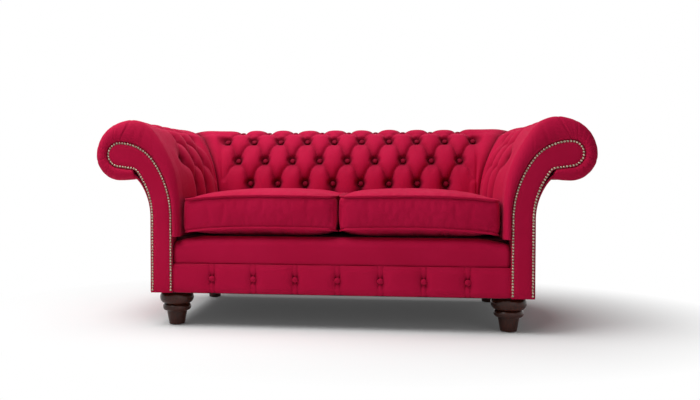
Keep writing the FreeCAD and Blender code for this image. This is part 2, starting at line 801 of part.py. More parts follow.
kept_block(
    "front_seat_rail",
    (f"-{FRAME_X_CELL}", FRONT_Y_CELL, BASE_Z_CELL),
    (FRAME_X_CELL, FRONT_RAIL_BACK_CELL, RAIL_TOP_CELL),
)
kept_block(
    "rear_seat_rail",
    (f"-{FRAME_X_CELL}", REAR_Y_CELL, BASE_Z_CELL),
    (FRAME_X_CELL, f"{REAR_Y_CELL} + dims.rail_thickness", RAIL_TOP_CELL),
)
kept_block(
    "back_base_rail",
    (f"-{SIDE_TOP_X_CELL}", BASE_RAIL_FRONT_CELL, BASE_Z_CELL),
    (SIDE_TOP_X_CELL, BASE_RAIL_BACK_CELL, f"{BASE_Z_CELL} + dims.base_rail_height"),
)
kept_block(
    "centre_seat_brace",
    ("-dims.brace_width / 2", f"{FRONT_RAIL_BACK_CELL} + {GAP_CELL}", BASE_Z_CELL),
    ("dims.brace_width / 2", f"{REAR_Y_CELL} - {GAP_CELL}", f"{BASE_Z_CELL} + dims.brace_height"),
)
kept_block(
    "back_stuffing_rail",
    (f"-{FRAME_X_CELL}", CORNER_Y_CELL, DECK_BOTTOM_CELL),
    (FRAME_X_CELL, f"{CORNER_Y_CELL} + dims.stuffing_rail_width", STUFFING_TOP_CELL),
)
for hand in ("right", "left"):
    def side_block(label, inner, outer, y, z):
        """A block on this hand, between two distances from the middle."""
        low_x, high_x = (inner, outer) if hand == "right" else (f"-({outer})", f"-({inner})")
        kept_block(f"{hand}_{label}", (low_x, y[0], z[0]), (high_x, y[1], z[1]))

    side_block(
        "seat_rail",
        SIDE_X_CELL,
        f"{SIDE_X_CELL} + dims.rail_thickness",
        (f"{POST_BACK_CELL} + {GAP_CELL}", BASE_RAIL_BACK_CELL),
        (BASE_Z_CELL, RAIL_TOP_CELL),
    )
    side_block(
        "corner_post",
        POST_X_CELL,
        SIDE_TOP_X_CELL,
        (CORNER_Y_CELL, f"{REAR_Y_CELL} + dims.rail_thickness"),
        (BASE_Z_CELL, "dims.lean_start_height - dims.facing_lean_drop"),
    )
    side_block(
        "stuffing_rail",
        POST_X_CELL,
        f"{POST_X_CELL} + dims.stuffing_rail_width",
        (f"{POST_BACK_CELL} + {GAP_CELL}", f"{CORNER_Y_CELL} - {GAP_CELL}"),
        (DECK_BOTTOM_CELL, STUFFING_TOP_CELL),
    )


# Seat: zigzag springs held by folded clips, the sprung deck, and the padded front.
RAIL_LENGTH_X = d.inner_half_width + d.side_padding + POST_INSET - d.fit_clearance
FRONT_Y = FACE_Y + d.front_rail_depth
FRONT_BAR_Y = FRONT_Y + d.rail_thickness / 2
REAR_BAR_Y = FACE_Y + d.seat_depth + d.side_rail_reach + d.rail_thickness / 2
WIRE_Z = RAIL_TOP + 2 * d.fit_clearance + d.clip_thickness + d.spring_wire / 2


def zigzag_spring(x):
    """One wire: cross bars joined by half loops, from the front rail to the rear rail."""
    bars = round((REAR_BAR_Y - FRONT_BAR_Y) / (2 * d.spring_loop_radius))
    bars += bars % 2
    step = (REAR_BAR_Y - FRONT_BAR_Y) / bars
    half = d.spring_width / 2 - step / 2
    edges = []
    for index in range(bars + 1):
        y, side = FRONT_BAR_Y + index * step, 1 if index % 2 == 0 else -1
        start, end = Vector(x - side * half, y, WIRE_Z), Vector(x + side * half, y, WIRE_Z)
        edges.append(line(start, end))
        if index < bars:
            bend = Vector(x + side * (half + step / 2), y + step / 2, WIRE_Z)
            edges.append(arc(end, bend, end + Vector(0, step, 0)))
    path = Part.Wire(edges)
    section = Part.Wire(
        Part.makeCircle(d.spring_wire / 2, edges[0].Vertexes[0].Point, Vector(1, 0, 0))
    )
    return path.makePipeShell([section], True, False)


def spring_clip(x, y):
    """A folded steel clip with the spring's end bar through it."""
    height = CLIP_HEIGHT
    corner = Vector(x - d.clip_width / 2, y - d.clip_length / 2, RAIL_TOP + d.fit_clearance)
    body = Part.makeBox(d.clip_width, d.clip_length, height, corner)
    bore = Part.makeCylinder(
        d.spring_wire / 2 + d.fit_clearance,
        2 * d.clip_width,
        Vector(x - d.clip_width, y, WIRE_Z),
        Vector(1, 0, 0),
    )
    return body.cut(bore)


spring_count = int(2 * (RAIL_LENGTH_X - d.spring_width) // d.spring_pitch) + 1
spring_x = [(k - (spring_count - 1) / 2) * d.spring_pitch for k in range(spring_count)]
feature("seat_springs", Part.makeCompound([zigzag_spring(x) for x in spring_x]))
clips = [spring_clip(x, y) for x in spring_x for y in (FRONT_BAR_Y, REAR_BAR_Y)]
feature("spring_clips", Part.makeCompound(clips))

LIP_BACK_CELL = f"({FRONT_RAIL_BACK_CELL} + 2 * {GAP_CELL})"
kept_block(
    "seat_deck",
    (f"-{FRAME_X_CELL}", LIP_BACK_CELL, DECK_BOTTOM_CELL),
    (FRAME_X_CELL, f"{CORNER_Y_CELL} - {GAP_CELL}", f"{DECK_BOTTOM_CELL} + dims.deck_thickness"),
)

FRONT_END_X = d.inner_half_width + d.side_padding - d.fit_clearance
BORDER_TOP = BASE_Z + d.border_height
PAD_BACK_Y = FRONT_Y - d.fit_clearance


def border_section(z, inset):
    """The border's outline from above: box pleats at the buttons and a slight swell between."""
    face = FACE_Y + d.border_depth + inset
    half = (d.border_pleat_width) / 2
    groove = d.border_pleat_depth
    count = int((FRONT_END_X - d.border_pleat_width) // d.border_button_pitch)
    pleats = [k * d.border_button_pitch for k in range(-count, count + 1)]
    points = [Vector(-FRONT_END_X, face + groove, z)]
    edges = []
    for x in pleats:
        before, after = Vector(x - 2 * half, face, z), Vector(x + 2 * half, face, z)
        start = points[-1]
        swell = Vector((start.x + before.x) / 2, face - groove / 2, z)
        edges.append(arc(start, swell, before))
        corners = [
            before,
            Vector(x - half, face + groove, z),
            Vector(x - half * 0.6, face, z),
            Vector(x + half * 0.6, face, z),
            Vector(x + half, face + groove, z),
            after,
        ]
        edges += [line(a, b) for a, b in zip(corners, corners[1:])]
        points.append(after)
    end = Vector(FRONT_END_X, face + groove, z)
    swell = Vector((points[-1].x + end.x) / 2, face - groove / 2, z)
    edges.append(arc(points[-1], swell, end))
    back = [end, Vector(FRONT_END_X, PAD_BACK_Y, z), Vector(-FRONT_END_X, PAD_BACK_Y, z)]
    back.append(points[0])
    edges += [line(a, b) for a, b in zip(back, back[1:])]
    return Part.Wire(edges), pleats


border_sections = []
for share, inset in ((0, 5.0), (0.1, 1.5), (0.3, 0.0), (0.7, 0.0), (0.9, 1.5), (1, 5.0)):
    wire, border_pleats = border_section(BASE_Z + share * d.border_height, inset)
    border_sections.append(wire)
button_places_border = [
    (Vector(x, FACE_Y + d.border_depth, BASE_Z + d.border_height / 2), Vector(0, -1, 0))
    for x in border_pleats
]
border, border_buttons = seated_buttons(loft(border_sections), button_places_border)
feature("front_border_pad", border)
feature("border_buttons", border_buttons)


def lip_section(x, drop, inset):
    """The seat's front roll seen from the side: down the rail's face and back over its top."""
    face, top = FACE_Y + d.lip_depth + inset, DECK_TOP - drop
    radius = min(d.lip_radius, (top - BORDER_TOP) / 2)
    foot = BORDER_TOP + d.fit_clearance
    back = FRONT_Y + d.rail_thickness + d.fit_clearance
    bend = radius * (1 - math.sqrt(0.5))
    chest = Vector(x, face, top - radius)
    roll_top = Vector(x, face + radius, top)
    foot_front = Vector(x, face + d.lip_bulge, foot)
    swell = Vector(x, face - d.lip_bulge / 3, (foot + top - radius) / 2)
    corners = [
        roll_top,
        Vector(x, back, top),
        Vector(x, back, DECK_BOTTOM),
        Vector(x, PAD_BACK_Y, DECK_BOTTOM),
        Vector(x, PAD_BACK_Y, foot),
        foot_front,
    ]
    edges = [line(a, b) for a, b in zip(corners, corners[1:])]
    edges.append(arc(foot_front, swell, chest))
    edges.append(arc(chest, Vector(x, face + bend, top - bend), roll_top))
    return Part.Wire(edges)


drop = d.lip_corner_drop
lip_ends = [(0.0, drop, 3.0), (6.0, 0.8 * drop, 0.5), (40.0, 0.4 * drop, 0.0), (110.0, 0.0, 0.0)]
lip_sections = [lip_section(e - FRONT_END_X, *rest) for e, *rest in lip_ends]
lip_sections += [lip_section(FRONT_END_X - e, *rest) for e, *rest in reversed(lip_ends)]
feature("front_lip_pad", loft(lip_sections))

# Loose seat cushions with a piped seam round the top and the bottom.
CUSHION_FRONT = FACE_Y + d.cushion_front + d.cushion_side_bulge
CUSHION_BACK = FACE_Y + d.seat_depth - d.pad_swell - d.cushion_back_gap - d.cushion_side_bulge
PIPING_LEAN = (d.piping_diameter / 2 + d.piping_clearance) * math.sqrt(0.5)
SEAM_LOW = DECK_TOP + d.cushion_belly
SEAM_HIGH = SEAM_LOW + d.cushion_box_height

# Share of the way from the outer end to the middle of the sofa, share of the seam's rise and
# share of the filling's swell there.
CUSHION_SHARES = [
    (0.0, 0.0, 0.10),
    (0.02, 0.1, 0.26),
    (0.06, 0.3, 0.46),
    (0.16, 0.6, 0.74),
    (0.33, 0.9, 0.94),
    (0.5, 1.0, 1.0),
    (0.68, 0.97, 0.97),
    (0.84, 0.9, 0.86),
    (0.94, 0.82, 0.68),
    (0.98, 0.79, 0.52),
    (1.0, 0.78, 0.40),
]


def cushion_x(side, share, y):
    """Where a section crosses the depth y: the outer side tapers in towards the back."""
    outer = d.inner_half_width - d.cushion_side_gap
    outer -= d.cushion_taper * (y - CUSHION_FRONT) / (CUSHION_BACK - CUSHION_FRONT)
    inner = d.cushion_half_gap + PIPING_LEAN + d.piping_diameter / 2
    return side * (outer + (inner - outer) * share)


def corner_inset(distance):
    """How far the rounded corner has drawn in at a distance from the cushion's end."""
    r = d.cushion_corner_radius
    if distance >= r:
        return 0.0
    return 0.6 * (r - math.sqrt(r**2 - (r - distance) ** 2))


def cushion_points(side, share, rise, fill):
    """The seam points and the swelling points of one section of a cushion."""
    length = d.inner_half_width - d.cushion_side_gap
    inset = corner_inset(min(share, 1 - share) * length)
    front, back = CUSHION_FRONT + inset, CUSHION_BACK - inset
    lift = rise * d.cushion_seam_rise
    low, high = SEAM_LOW + lift, SEAM_HIGH + lift
    crown = SEAM_HIGH + fill * d.cushion_crown + 2
    crown = max(crown, high + 2)
    belly = low - fill * (low - DECK_TOP - d.fit_clearance)
    shoulder = (back - front) * 0.26

    def at(y, z):
        return Vector(cushion_x(side, share, y), y, z)

    bulge = d.cushion_side_bulge * (0.5 + 0.5 * fill)
    middle = (front + back) / 2
    return {
        "front_low": at(front, low),
        "front_middle": at(front - bulge, (low + high) / 2),
        "front_high": at(front, high),
        "top_front_bend": at(front + shoulder * 0.42, high + (crown - high) * 0.66),
        "top_front": at(front + shoulder, high + (crown - high) * 0.93),
        "top_middle": at(middle, crown),
        "top_back": at(back - shoulder, high + (crown - high) * 0.93),
        "top_back_bend": at(back - shoulder * 0.42, high + (crown - high) * 0.66),
        "back_high": at(back, high),
        "back_middle": at(back + bulge, (low + high) / 2),
        "back_low": at(back, low),
        "under_back_bend": at(back - shoulder * 0.42, low + (belly - low) * 0.66),
        "under_back": at(back - shoulder, belly),
        "under_front": at(front + shoulder, belly),
        "under_front_bend": at(front + shoulder * 0.42, low + (belly - low) * 0.66),
    }


def cushion_section(p):
    return Part.Wire(
        [
            arc(p["front_low"], p["front_middle"], p["front_high"]),
            arc(p["front_high"], p["top_front_bend"], p["top_front"]),
            arc(p["top_front"], p["top_middle"], p["top_back"]),
            arc(p["top_back"], p["top_back_bend"], p["back_high"]),
            arc(p["back_high"], p["back_middle"], p["back_low"]),
            arc(p["back_low"], p["under_back_bend"], p["under_back"]),
            line(p["under_back"], p["under_front"]),
            arc(p["under_front"], p["under_front_bend"], p["front_low"]),
        ]
    )


def piping_loop(sections, side, level):
    """The cord along one seam: front edge, inner end, back edge and outer end."""
    lean = PIPING_LEAN
    up = lean if level == "high" else -lean
    bend = "top_{}_bend" if level == "high" else "under_{}_bend"
    front = [p["front_" + level] + Vector(0, -lean, up) for p in sections]
    back = [p["back_" + level] + Vector(0, lean, up) for p in sections]
    across = "top" if level == "high" else "under"

    def end_run(p, outwards):
        shift = Vector(outwards * lean, 0, up)
        names = ["front_" + level, bend.format("front"), across + "_front"]
        names += [across + "_back", bend.format("back"), "back_" + level]
        run = [p[name] + shift for name in names]
        after_corner = run[0] + (run[1] - run[0]) * 0.25
        before_corner = run[-1] + (run[-2] - run[-1]) * 0.25
        return [run[0], after_corner, *run[1:-1], before_corner, run[-1]]

    inner = end_run(sections[-1], -side)
    outer = end_run(sections[0], side)
    outer.reverse()
    points = front[1:-1] + inner + list(reversed(back[1:-1])) + outer
    seam = Part.BSplineCurve()
    seam.interpolate(Points=points, PeriodicFlag=True)
    first, last = seam.FirstParameter, seam.LastParameter
    stops = [first + (last - first) * share for share in (0, 0.25, 0.5, 0.75, 1)]
    path = Part.Wire([seam.toShape(a, b) for a, b in zip(stops, stops[1:])])
    section = Part.Wire(
        Part.makeCircle(d.piping_diameter / 2, seam.value(first), seam.tangent(first)[0])
    )
    sweep = Part.BRepOffsetAPI.MakePipeShell(path)
    sweep.setBiNormalMode(Vector(0, 0, 1))
    sweep.add(section)
    sweep.build()
    return Part.Solid(Part.Shell(sweep.shape().Faces))


for side, hand in ((1, "right"), (-1, "left")):
    sections = [cushion_points(side, *shares) for shares in CUSHION_SHARES]
    feature(f"{hand}_seat_cushion", loft([cushion_section(p) for p in sections]))
    loops = [piping_loop(sections, side, level) for level in ("high", "low")]
    feature(f"{hand}_cushion_piping", Part.makeCompound(loops))

# Corner blocks, dust cover, bolts, nuts, legs and glides.
SIDE_INNER_X = d.inner_half_width + d.side_rail_reach - d.fit_clearance
FRONT_INNER_Y = FRONT_Y + d.rail_thickness + d.fit_clearance
BASE_RAIL_FRONT = FACE_Y + WHOLE_BACK - d.rail_thickness
REAR_INNER_Y = BASE_RAIL_FRONT - d.fit_clearance
FRONT_LEG_Y = FACE_Y + d.front_leg_depth
REAR_LEG_Y = FACE_Y + d.seat_depth + d.back_base_width - d.rear_leg_inset - d.rear_leg_top / 2
BLOCK_TOP = BASE_Z + d.corner_block_height
LEG_PLACES = [
    (side * x, y) for x, y in ((d.front_leg_x, FRONT_LEG_Y), (d.rear_leg_x, REAR_LEG_Y))
    for side in (1, -1)
]


def bolt_hole(x, y):
    radius = d.bolt_diameter / 2 + d.fit_clearance
    return Part.makeCylinder(radius, 2 * d.arm_height, Vector(x, y, 0))


blocks = []
for x, y in LEG_PLACES:
    side, inward = (1 if x > 0 else -1), (1 if y < 0 else -1)
    corner = Vector(side * SIDE_INNER_X, FRONT_INNER_Y if y < 0 else REAR_INNER_Y, BASE_Z)
    outline = [
        corner,
        corner + Vector(-side * d.corner_block_leg, 0, 0),
        corner + Vector(0, inward * d.corner_block_leg, 0),
        corner,
    ]
    prism = Part.Face(Part.makePolygon(outline)).extrude(Vector(0, 0, d.corner_block_height))
    blocks.append(prism.cut(bolt_hole(x, y)))
feature("corner_blocks", Part.makeCompound(blocks))

cover_x = d.inner_half_width + d.arm_base_width
cover_low = FACE_Y + d.border_depth + d.border_pleat_depth
cover_high = FACE_Y + d.seat_depth + d.back_base_width
cover_z = d.leg_height + (d.base_gap - d.dust_cover_thickness) / 2
cover = Part.makeBox(
    2 * cover_x, cover_high - cover_low, d.dust_cover_thickness, Vector(-cover_x, cover_low, cover_z)
)
feature("dust_cover", cover.cut(Part.makeCompound([bolt_hole(x, y) for x, y in LEG_PLACES])))

bolt_foot = d.leg_height - d.bolt_in_leg
nut_foot = BLOCK_TOP + d.fit_clearance
bolt_top = nut_foot + d.nut_flange_thickness + d.nut_height + 2
bolts, nuts, glides = [], [], []
for x, y in LEG_PLACES:
    bolts.append(
        Part.makeCylinder(d.bolt_diameter / 2, bolt_top - bolt_foot, Vector(x, y, bolt_foot))
    )
    flange = Part.makeCylinder(
        d.nut_flange_diameter / 2, d.nut_flange_thickness, Vector(x, y, nut_foot)
    )
    barrel = Part.makeCylinder(
        d.nut_diameter / 2, d.nut_flange_thickness + d.nut_height, Vector(x, y, nut_foot)
    )
    nuts.append(flange.fuse(barrel).cut(bolt_hole(x, y)))
    disc = Part.makeCylinder(d.glide_diameter / 2, d.glide_thickness, Vector(x, y, 0))
    rim = [edge for edge in disc.Edges if edge.BoundBox.ZMax < d.glide_thickness / 2]
    glides.append(disc.makeChamfer(d.glide_thickness / 3, rim))
feature("leg_bolts", Part.makeCompound(bolts))
feature("leg_nuts", Part.makeCompound(nuts))
feature("leg_glides", Part.makeCompound(glides))


def bound_point(sketch, geometry, vertex, across, up):
    """Ties a sketch point to expressions for its distance from the axis and from the floor."""
    for kind, axis_cell in (("DistanceX", across), ("DistanceY", up)):
        index = sketch.addConstraint(
            Sketcher.Constraint(kind, -1, 1, geometry, vertex, evaluate(axis_cell))
        )
        sketch.setExpression(f"Constraints[{index}]", axis_cell)


def turned_leg(label, x_cell, y_cell, profile):
    """A leg turned about its own axis: a sketch of straight and rounded runs, then a revolution.

    profile lists (radius, height, radius of the rounded run that leads here or None), as cells.
    """
    body = doc.addObject("PartDesign::Body", label)
    plane = [f for f in body.Origin.OriginFeatures if f.Role == "XZ_Plane"][0]
    sketch = body.newObject("Sketcher::SketchObject", label + "_profile")
    sketch.AttachmentSupport = [(plane, "")]
    sketch.MapMode = "FlatFace"
    doc.recompute()
    values = [(evaluate(r), evaluate(z), None if bend is None else evaluate(bend))
              for r, z, bend in profile]
    for index in range(len(profile)):
        start, end = values[index - 1], values[index]
        a, b = Vector(start[0], start[1], 0), Vector(end[0], end[1], 0)
        if end[2] is None:
            sketch.addGeometry(Part.LineSegment(a, b))
            continue
        chord = b - a
        outwards = Vector(chord.y, -chord.x, 0).normalize()
        sagitta = end[2] - math.sqrt(end[2] ** 2 - chord.Length**2 / 4)
        sketch.addGeometry(Part.Arc(a, (a + b) / 2 + outwards * sagitta, b))
    for index, (r, z, bend) in enumerate(profile):
        following = (index + 1) % len(profile)
        end_vertex = 2
        sketch.addConstraint(
            Sketcher.Constraint("Coincident", index, end_vertex, following, 1)
        )
        bound_point(sketch, index, end_vertex, r, z)
        if bend is not None:
            row = sketch.addConstraint(
                Sketcher.Constraint("Radius", index, values[index][2])
            )
            sketch.setExpression(f"Constraints[{row}]", bend)
    doc.recompute()
    turning = body.newObject("PartDesign::Revolution", label + "_turning")
    turning.Profile = sketch
    turning.ReferenceAxis = (sketch, ["V_Axis"])
    turning.Angle = 360
    body.setExpression("Placement.Base.x", x_cell)
    body.setExpression("Placement.Base.y", y_cell)
    doc.recompute()
    return keep(body, label)


def evaluate(cell):
    """The present value of an expression over the sheet's cells."""
    return float(sheet.evalExpression(cell))


def rounded_run(chord_across, chord_up, swell):
    """Cell for the radius of an arc from its chord and its swell beyond the chord."""
    return f"((({chord_across})^2 + ({chord_up})^2) / 4 + ({swell})^2) / (2 * ({swell}))"


FOOT_Z = "dims.glide_thickness + dims.fit_clearance"
RING_FOOT = "dims.leg_height - dims.leg_bulge_height - dims.leg_ring_height"
RING_TOP = "dims.leg_height - dims.leg_bulge_height"
HOLE_RADIUS = "dims.bolt_diameter / 2 + dims.fit_clearance"
HOLE_FOOT = "dims.leg_height - dims.bolt_in_leg - dims.fit_clearance"
FRONT_PROFILE = [
    ("dims.leg_foot_radius", FOOT_Z, None),
    ("dims.leg_taper_radius", RING_FOOT, None),
    (
        "dims.leg_neck_radius",
        RING_TOP,
        rounded_run(
            "dims.leg_neck_radius - dims.leg_taper_radius",
            "dims.leg_ring_height",
            "dims.leg_ring_radius - (dims.leg_neck_radius + dims.leg_taper_radius) / 2",
        ),
    ),
    (
        "dims.leg_top_radius",
        "dims.leg_height",
        rounded_run(
            "dims.leg_top_radius - dims.leg_neck_radius",
            "dims.leg_bulge_height",
            "dims.leg_bulge_radius - (dims.leg_top_radius + dims.leg_neck_radius) / 2",
        ),
    ),
    (HOLE_RADIUS, "dims.leg_height", None),
    (HOLE_RADIUS, HOLE_FOOT, None),
    ("0 mm", HOLE_FOOT, None),
    ("0 mm", FOOT_Z, None),
]
REAR_PROFILE = [
    ("dims.rear_leg_foot / 2", FOOT_Z, None),
    ("dims.rear_leg_top / 2", "dims.leg_height", None),
    (HOLE_RADIUS, "dims.leg_height", None),
    (HOLE_RADIUS, HOLE_FOOT, None),
    ("0 mm", HOLE_FOOT, None),
    ("0 mm", FOOT_Z, None),
]
FRONT_LEG_Y_CELL = f"({FACE_Y_CELL} + dims.front_leg_depth)"
REAR_LEG_Y_CELL = (
    f"({BACK_FACE_CELL} + dims.back_base_width - dims.rear_leg_inset - dims.rear_leg_top / 2)"
)
for hand, sign in (("right", ""), ("left", "-")):
    turned_leg(f"{hand}_front_leg", f"{sign}dims.front_leg_x", FRONT_LEG_Y_CELL, FRONT_PROFILE)
    turned_leg(f"{hand}_rear_leg", f"{sign}dims.rear_leg_x", REAR_LEG_Y_CELL, REAR_PROFILE)

doc.recompute()
for obj in doc.Objects:
    for state in obj.State:
        if state in ("Invalid", "Error"):
            raise RuntimeError(f"{obj.Label} did not compute")
for obj in SUBPARTS:
    if obj.Shape.isNull() or not obj.Shape.isValid():
        raise RuntimeError(f"{obj.Label} has no valid shape")

os.makedirs("parts", exist_ok=True)
for obj in SUBPARTS:
    obj.Shape.exportStep(f"parts/{obj.Label}.step")
print(f"{len(SUBPARTS)} sub-parts written")
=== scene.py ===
# %% [markdown]
# # A two-seat chesterfield sofa in deep-buttoned velvet
#
# The carpenter's side of this sofa is already made: a hardwood frame with springs, blocks and feet,
# loaded here as a fixed frame.  This lesson is the upholsterer's side of the work.  Each step
# replaces one plain padded block of that frame with the cloth form a maker would put there, or gives
# a wooden or metal piece its finish.  Sizes are in millimetres, as on an upholsterer's drawing, and
# each mesh is brought to metres at the end.

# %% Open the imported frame
import math

import bmesh
import bpy
import numpy as np
from mathutils import Matrix, Vector


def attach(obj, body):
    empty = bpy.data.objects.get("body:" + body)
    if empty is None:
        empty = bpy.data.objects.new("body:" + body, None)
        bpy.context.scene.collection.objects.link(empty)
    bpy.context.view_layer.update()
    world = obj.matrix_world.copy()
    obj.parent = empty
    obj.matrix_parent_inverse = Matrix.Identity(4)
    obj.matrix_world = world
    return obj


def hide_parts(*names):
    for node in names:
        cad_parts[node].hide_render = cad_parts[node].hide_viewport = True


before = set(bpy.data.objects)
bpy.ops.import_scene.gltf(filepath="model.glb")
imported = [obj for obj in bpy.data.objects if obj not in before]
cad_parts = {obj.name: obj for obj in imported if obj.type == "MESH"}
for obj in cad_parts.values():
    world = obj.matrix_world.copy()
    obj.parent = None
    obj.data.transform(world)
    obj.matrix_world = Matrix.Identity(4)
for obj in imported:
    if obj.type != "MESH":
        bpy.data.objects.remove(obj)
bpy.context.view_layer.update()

MM = 0.001

# %% [markdown]
# ## Where the viewer stands
#
# The sofa is seen from a little to the right of its middle, half a metre above the floor and about
# three metres away.  The camera is a child of nothing and its lens is set in millimetres on a 36 mm
# sensor.  A small sideways shift moves the picture without turning the camera, which keeps the
# upright lines of the legs and facings upright.

# %% Camera
CAMERA_PLACE = (0.184, -3.116, 0.5305)
CAMERA_TURN = 7.1
CAMERA_DIP = 1.755
CAMERA_LENS = 40.9
CAMERA_SHIFT = 0.0814

camera = bpy.data.objects.new("camera", bpy.data.cameras.new("camera"))
bpy.context.scene.collection.objects.link(camera)
camera.location = CAMERA_PLACE
camera.rotation_euler = (math.radians(90 - CAMERA_DIP), 0, math.radians(CAMERA_TURN))
camera.data.lens = CAMERA_LENS
camera.data.sensor_width = 36
camera.data.shift_x = CAMERA_SHIFT
bpy.context.scene.camera = camera
bpy.context.scene.view_settings.view_transform = "Standard"
print("camera at", CAMERA_PLACE, "lens", CAMERA_LENS)

# %% [markdown]
# ## Mixing finishes
#
# Every finish is a small recipe of nodes: a noise for the nap of the velvet, a stretched noise for
# the grain of the wood.  Written as sums, such recipes stay readable.  One class wraps an output
# socket and overloads the sums, so that a line such as `0.4 + 0.2 * grain` adds its Math nodes by
# itself.  Any other node comes from the single method `node`.


# %% The class that wraps a socket
class Dye:
    """One value in a finish's recipe: an output socket that can be used in sums."""

    def __init__(self, tree, socket=None):
        self.tree = tree
        self.socket = socket

    def node(self, kind, settings=(), values=(), out=0):
        """Adds a node: first its settings, then the values or links of its sockets."""
        made = self.tree.nodes.new(kind)
        for name, value in dict(settings).items():
            if name == "stops":
                ramp = made.color_ramp
                while len(ramp.elements) < len(value):
                    ramp.elements.new(1.0)
                for element, (place, colour) in zip(ramp.elements, value):
                    element.position = place
                    element.color = (*colour, 1.0)
            else:
                setattr(made, name, value)
        for name, value in dict(values).items():
            if isinstance(value, Dye):
                self.tree.links.new(value.socket, made.inputs[name])
            else:
                made.inputs[name].default_value = value
        return Dye(self.tree, made.outputs[out])

    def sum(self, operation, *terms):
        return self.node("ShaderNodeMath", {"operation": operation}, dict(enumerate(terms)))

    def __add__(self, other):
        return self.sum("ADD", self, other)

    __radd__ = __add__

    def __sub__(self, other):
        return self.sum("SUBTRACT", self, other)

    def __rsub__(self, other):
        return self.sum("SUBTRACT", other, self)

    def __mul__(self, other):
        return self.sum("MULTIPLY", self, other)

    __rmul__ = __mul__

    def __pow__(self, other):
        return self.sum("POWER", self, other)

    def held(self, low, high):
        """This value brought from low..high to 0..1 and held there."""
        return self.node(
            "ShaderNodeMapRange", {"clamp": True}, {0: self, "From Min": low, "From Max": high}
        )

    def between(self, first, second):
        """A colour from `first` where this value is 0 to `second` where it is 1."""
        values = {0: self}
        for place, colour in ((6, first), (7, second)):
            values[place] = colour if isinstance(colour, Dye) else (*colour, 1.0)
        return self.node("ShaderNodeMix", {"data_type": "RGBA"}, values, out=2)


print("recipes use", Dye.__name__)


# %% Starting a finish
def new_finish(name, constants, colour=None, roughness=None, height=None, relief=0.0002):
    """A Principled material; `recipe` functions return what varies over the surface."""
    material = bpy.data.materials.new(name)
    material.use_nodes = True
    tree = material.node_tree
    shader = tree.nodes["Principled BSDF"]
    for socket, value in constants.items():
        shader.inputs[socket].default_value = value
    start = Dye(tree)
    place = start.node("ShaderNodeTexCoord", out=3)
    for socket, recipe in (("Base Color", colour), ("Roughness", roughness)):
        if recipe is not None:
            tree.links.new(recipe(place).socket, shader.inputs[socket])
    if height is not None:
        bump = start.node(
            "ShaderNodeBump", values={"Height": height(place), "Distance": relief, "Strength": 1.0}
        )
        tree.links.new(bump.socket, shader.inputs["Normal"])
    return material


def noise(place, scale, detail=2.0, stretch=None):
    """Blender's noise at `scale` per metre; `stretch` squeezes it along each axis."""
    if stretch is not None:
        place = place.node("ShaderNodeMapping", values={"Vector": place, "Scale": stretch})
    return place.node("ShaderNodeTexNoise", values={"Vector": place, "Scale": scale, "Detail": detail})


# %% [markdown]
# ## The velvet
#
# Velvet is a pile of short upright threads.  Seen straight on, light sinks between the threads and
# the cloth looks deep; seen at a grazing angle the tips catch the light and it looks pale.  The
# shader's sheen does that.  The colour also drifts a little where the pile has been stroked, and in
# the bottom of a fold it is painted darker, as painted shade.  The folds are drawn by the meshes,
# which store how deep in a fold each point lies, and so how much painted shade it gets, in an
# attribute called `fold`.

# %% Velvet
VELVET = (0.42, 0.002, 0.036)
# Painted shade: the colour the velvet is darkened to at the bottom of a fold.
VELVET_PAINTED_SHADE = (0.085, 0.0005, 0.006)
VELVET_LIGHT = (0.53, 0.006, 0.056)


def velvet_colour(place):
    stroked = noise(place, 5.0, 3.0).held(0.35, 0.7)
    pile = noise(place, 700.0, 1.0).held(0.3, 0.7)
    fold = place.node("ShaderNodeAttribute", {"attribute_name": "fold"}, out=2)
    cloth = (0.25 + 0.45 * stroked + 0.3 * pile).between(VELVET, VELVET_LIGHT)
    # Painted shade: the deeper a point lies in a fold, the darker its colour is painted.
    return (fold ** 1.3).between(cloth, VELVET_PAINTED_SHADE)


def velvet_roughness(place):
    return 0.62 + 0.2 * noise(place, 60.0, 2.0)


def velvet_height(place):
    return noise(place, 900.0, 2.0) + 0.6 * noise(place, 160.0, 2.0)


velvet = new_finish(
    "velvet",
    {
        "Sheen Weight": 0.22,
        "Sheen Roughness": 0.38,
        "Sheen Tint": (1.0, 0.16, 0.30, 1.0),
        "Specular IOR Level": 0.08,
    },
    velvet_colour,
    velvet_roughness,
    velvet_height,
    0.00035,
)
print("finish:", velvet.name)

# %% [markdown]
# ## The outline that the arms and the back share
#
# The arms and the back are one continuous roll: the padding rises upright from the seat, leans out,
# turns over the top and curls back under itself.  The frame maker drew it as a straight run and five
# tangent arcs.  A point on it is found from its heading, which goes from 0 degrees (straight up) to
# 90 (level, at the crest), 180 (straight down, at the nose) and a little past 270 under the roll.
# Reach is the distance outwards from the inner face of the arm or the back.

# %% The padded outline
PAD_FOOT = 318.3
LEAN_START = 430.0
INNER_HALF_WIDTH = 552.0
SEAT_DEPTH = 560.0
FACE_Y = -423.0
CORNER_RADIUS = 39.0
OUTLINE_ARCS = (
    (0.0, 40.0, 402.5),
    (40.0, 90.0, 101.6),
    (90.0, 180.0, 126.0),
    (180.0, 270.0, 84.0),
    (270.0, 283.53, 252.2),
)
FACING_START = 385.0
FACING_ARCS = ((0.0, 35.0, 345.5), (35.0, 90.0, 152.0), (90.0, 180.0, 45.0), (180.0, 262.0, 45.0))


def along_arcs(arcs, start, turn):
    """Reach and height at each heading in `turn`, from `start` along the arcs."""
    reach = np.full_like(turn, start[0])
    height = np.full_like(turn, start[1])
    for low, high, radius in arcs:
        a = np.radians(low)
        b = np.radians(np.clip(turn, low, high))
        reach += radius * (np.cos(a) - np.cos(b))
        height += radius * (np.sin(b) - np.sin(a))
    return reach, height


def arc_lengths(arcs, straight, turn):
    """Length of cloth from the foot to each heading."""
    length = np.full_like(turn, straight)
    for low, high, radius in arcs:
        length += radius * np.radians(np.clip(turn, low, high) - low)
    return length


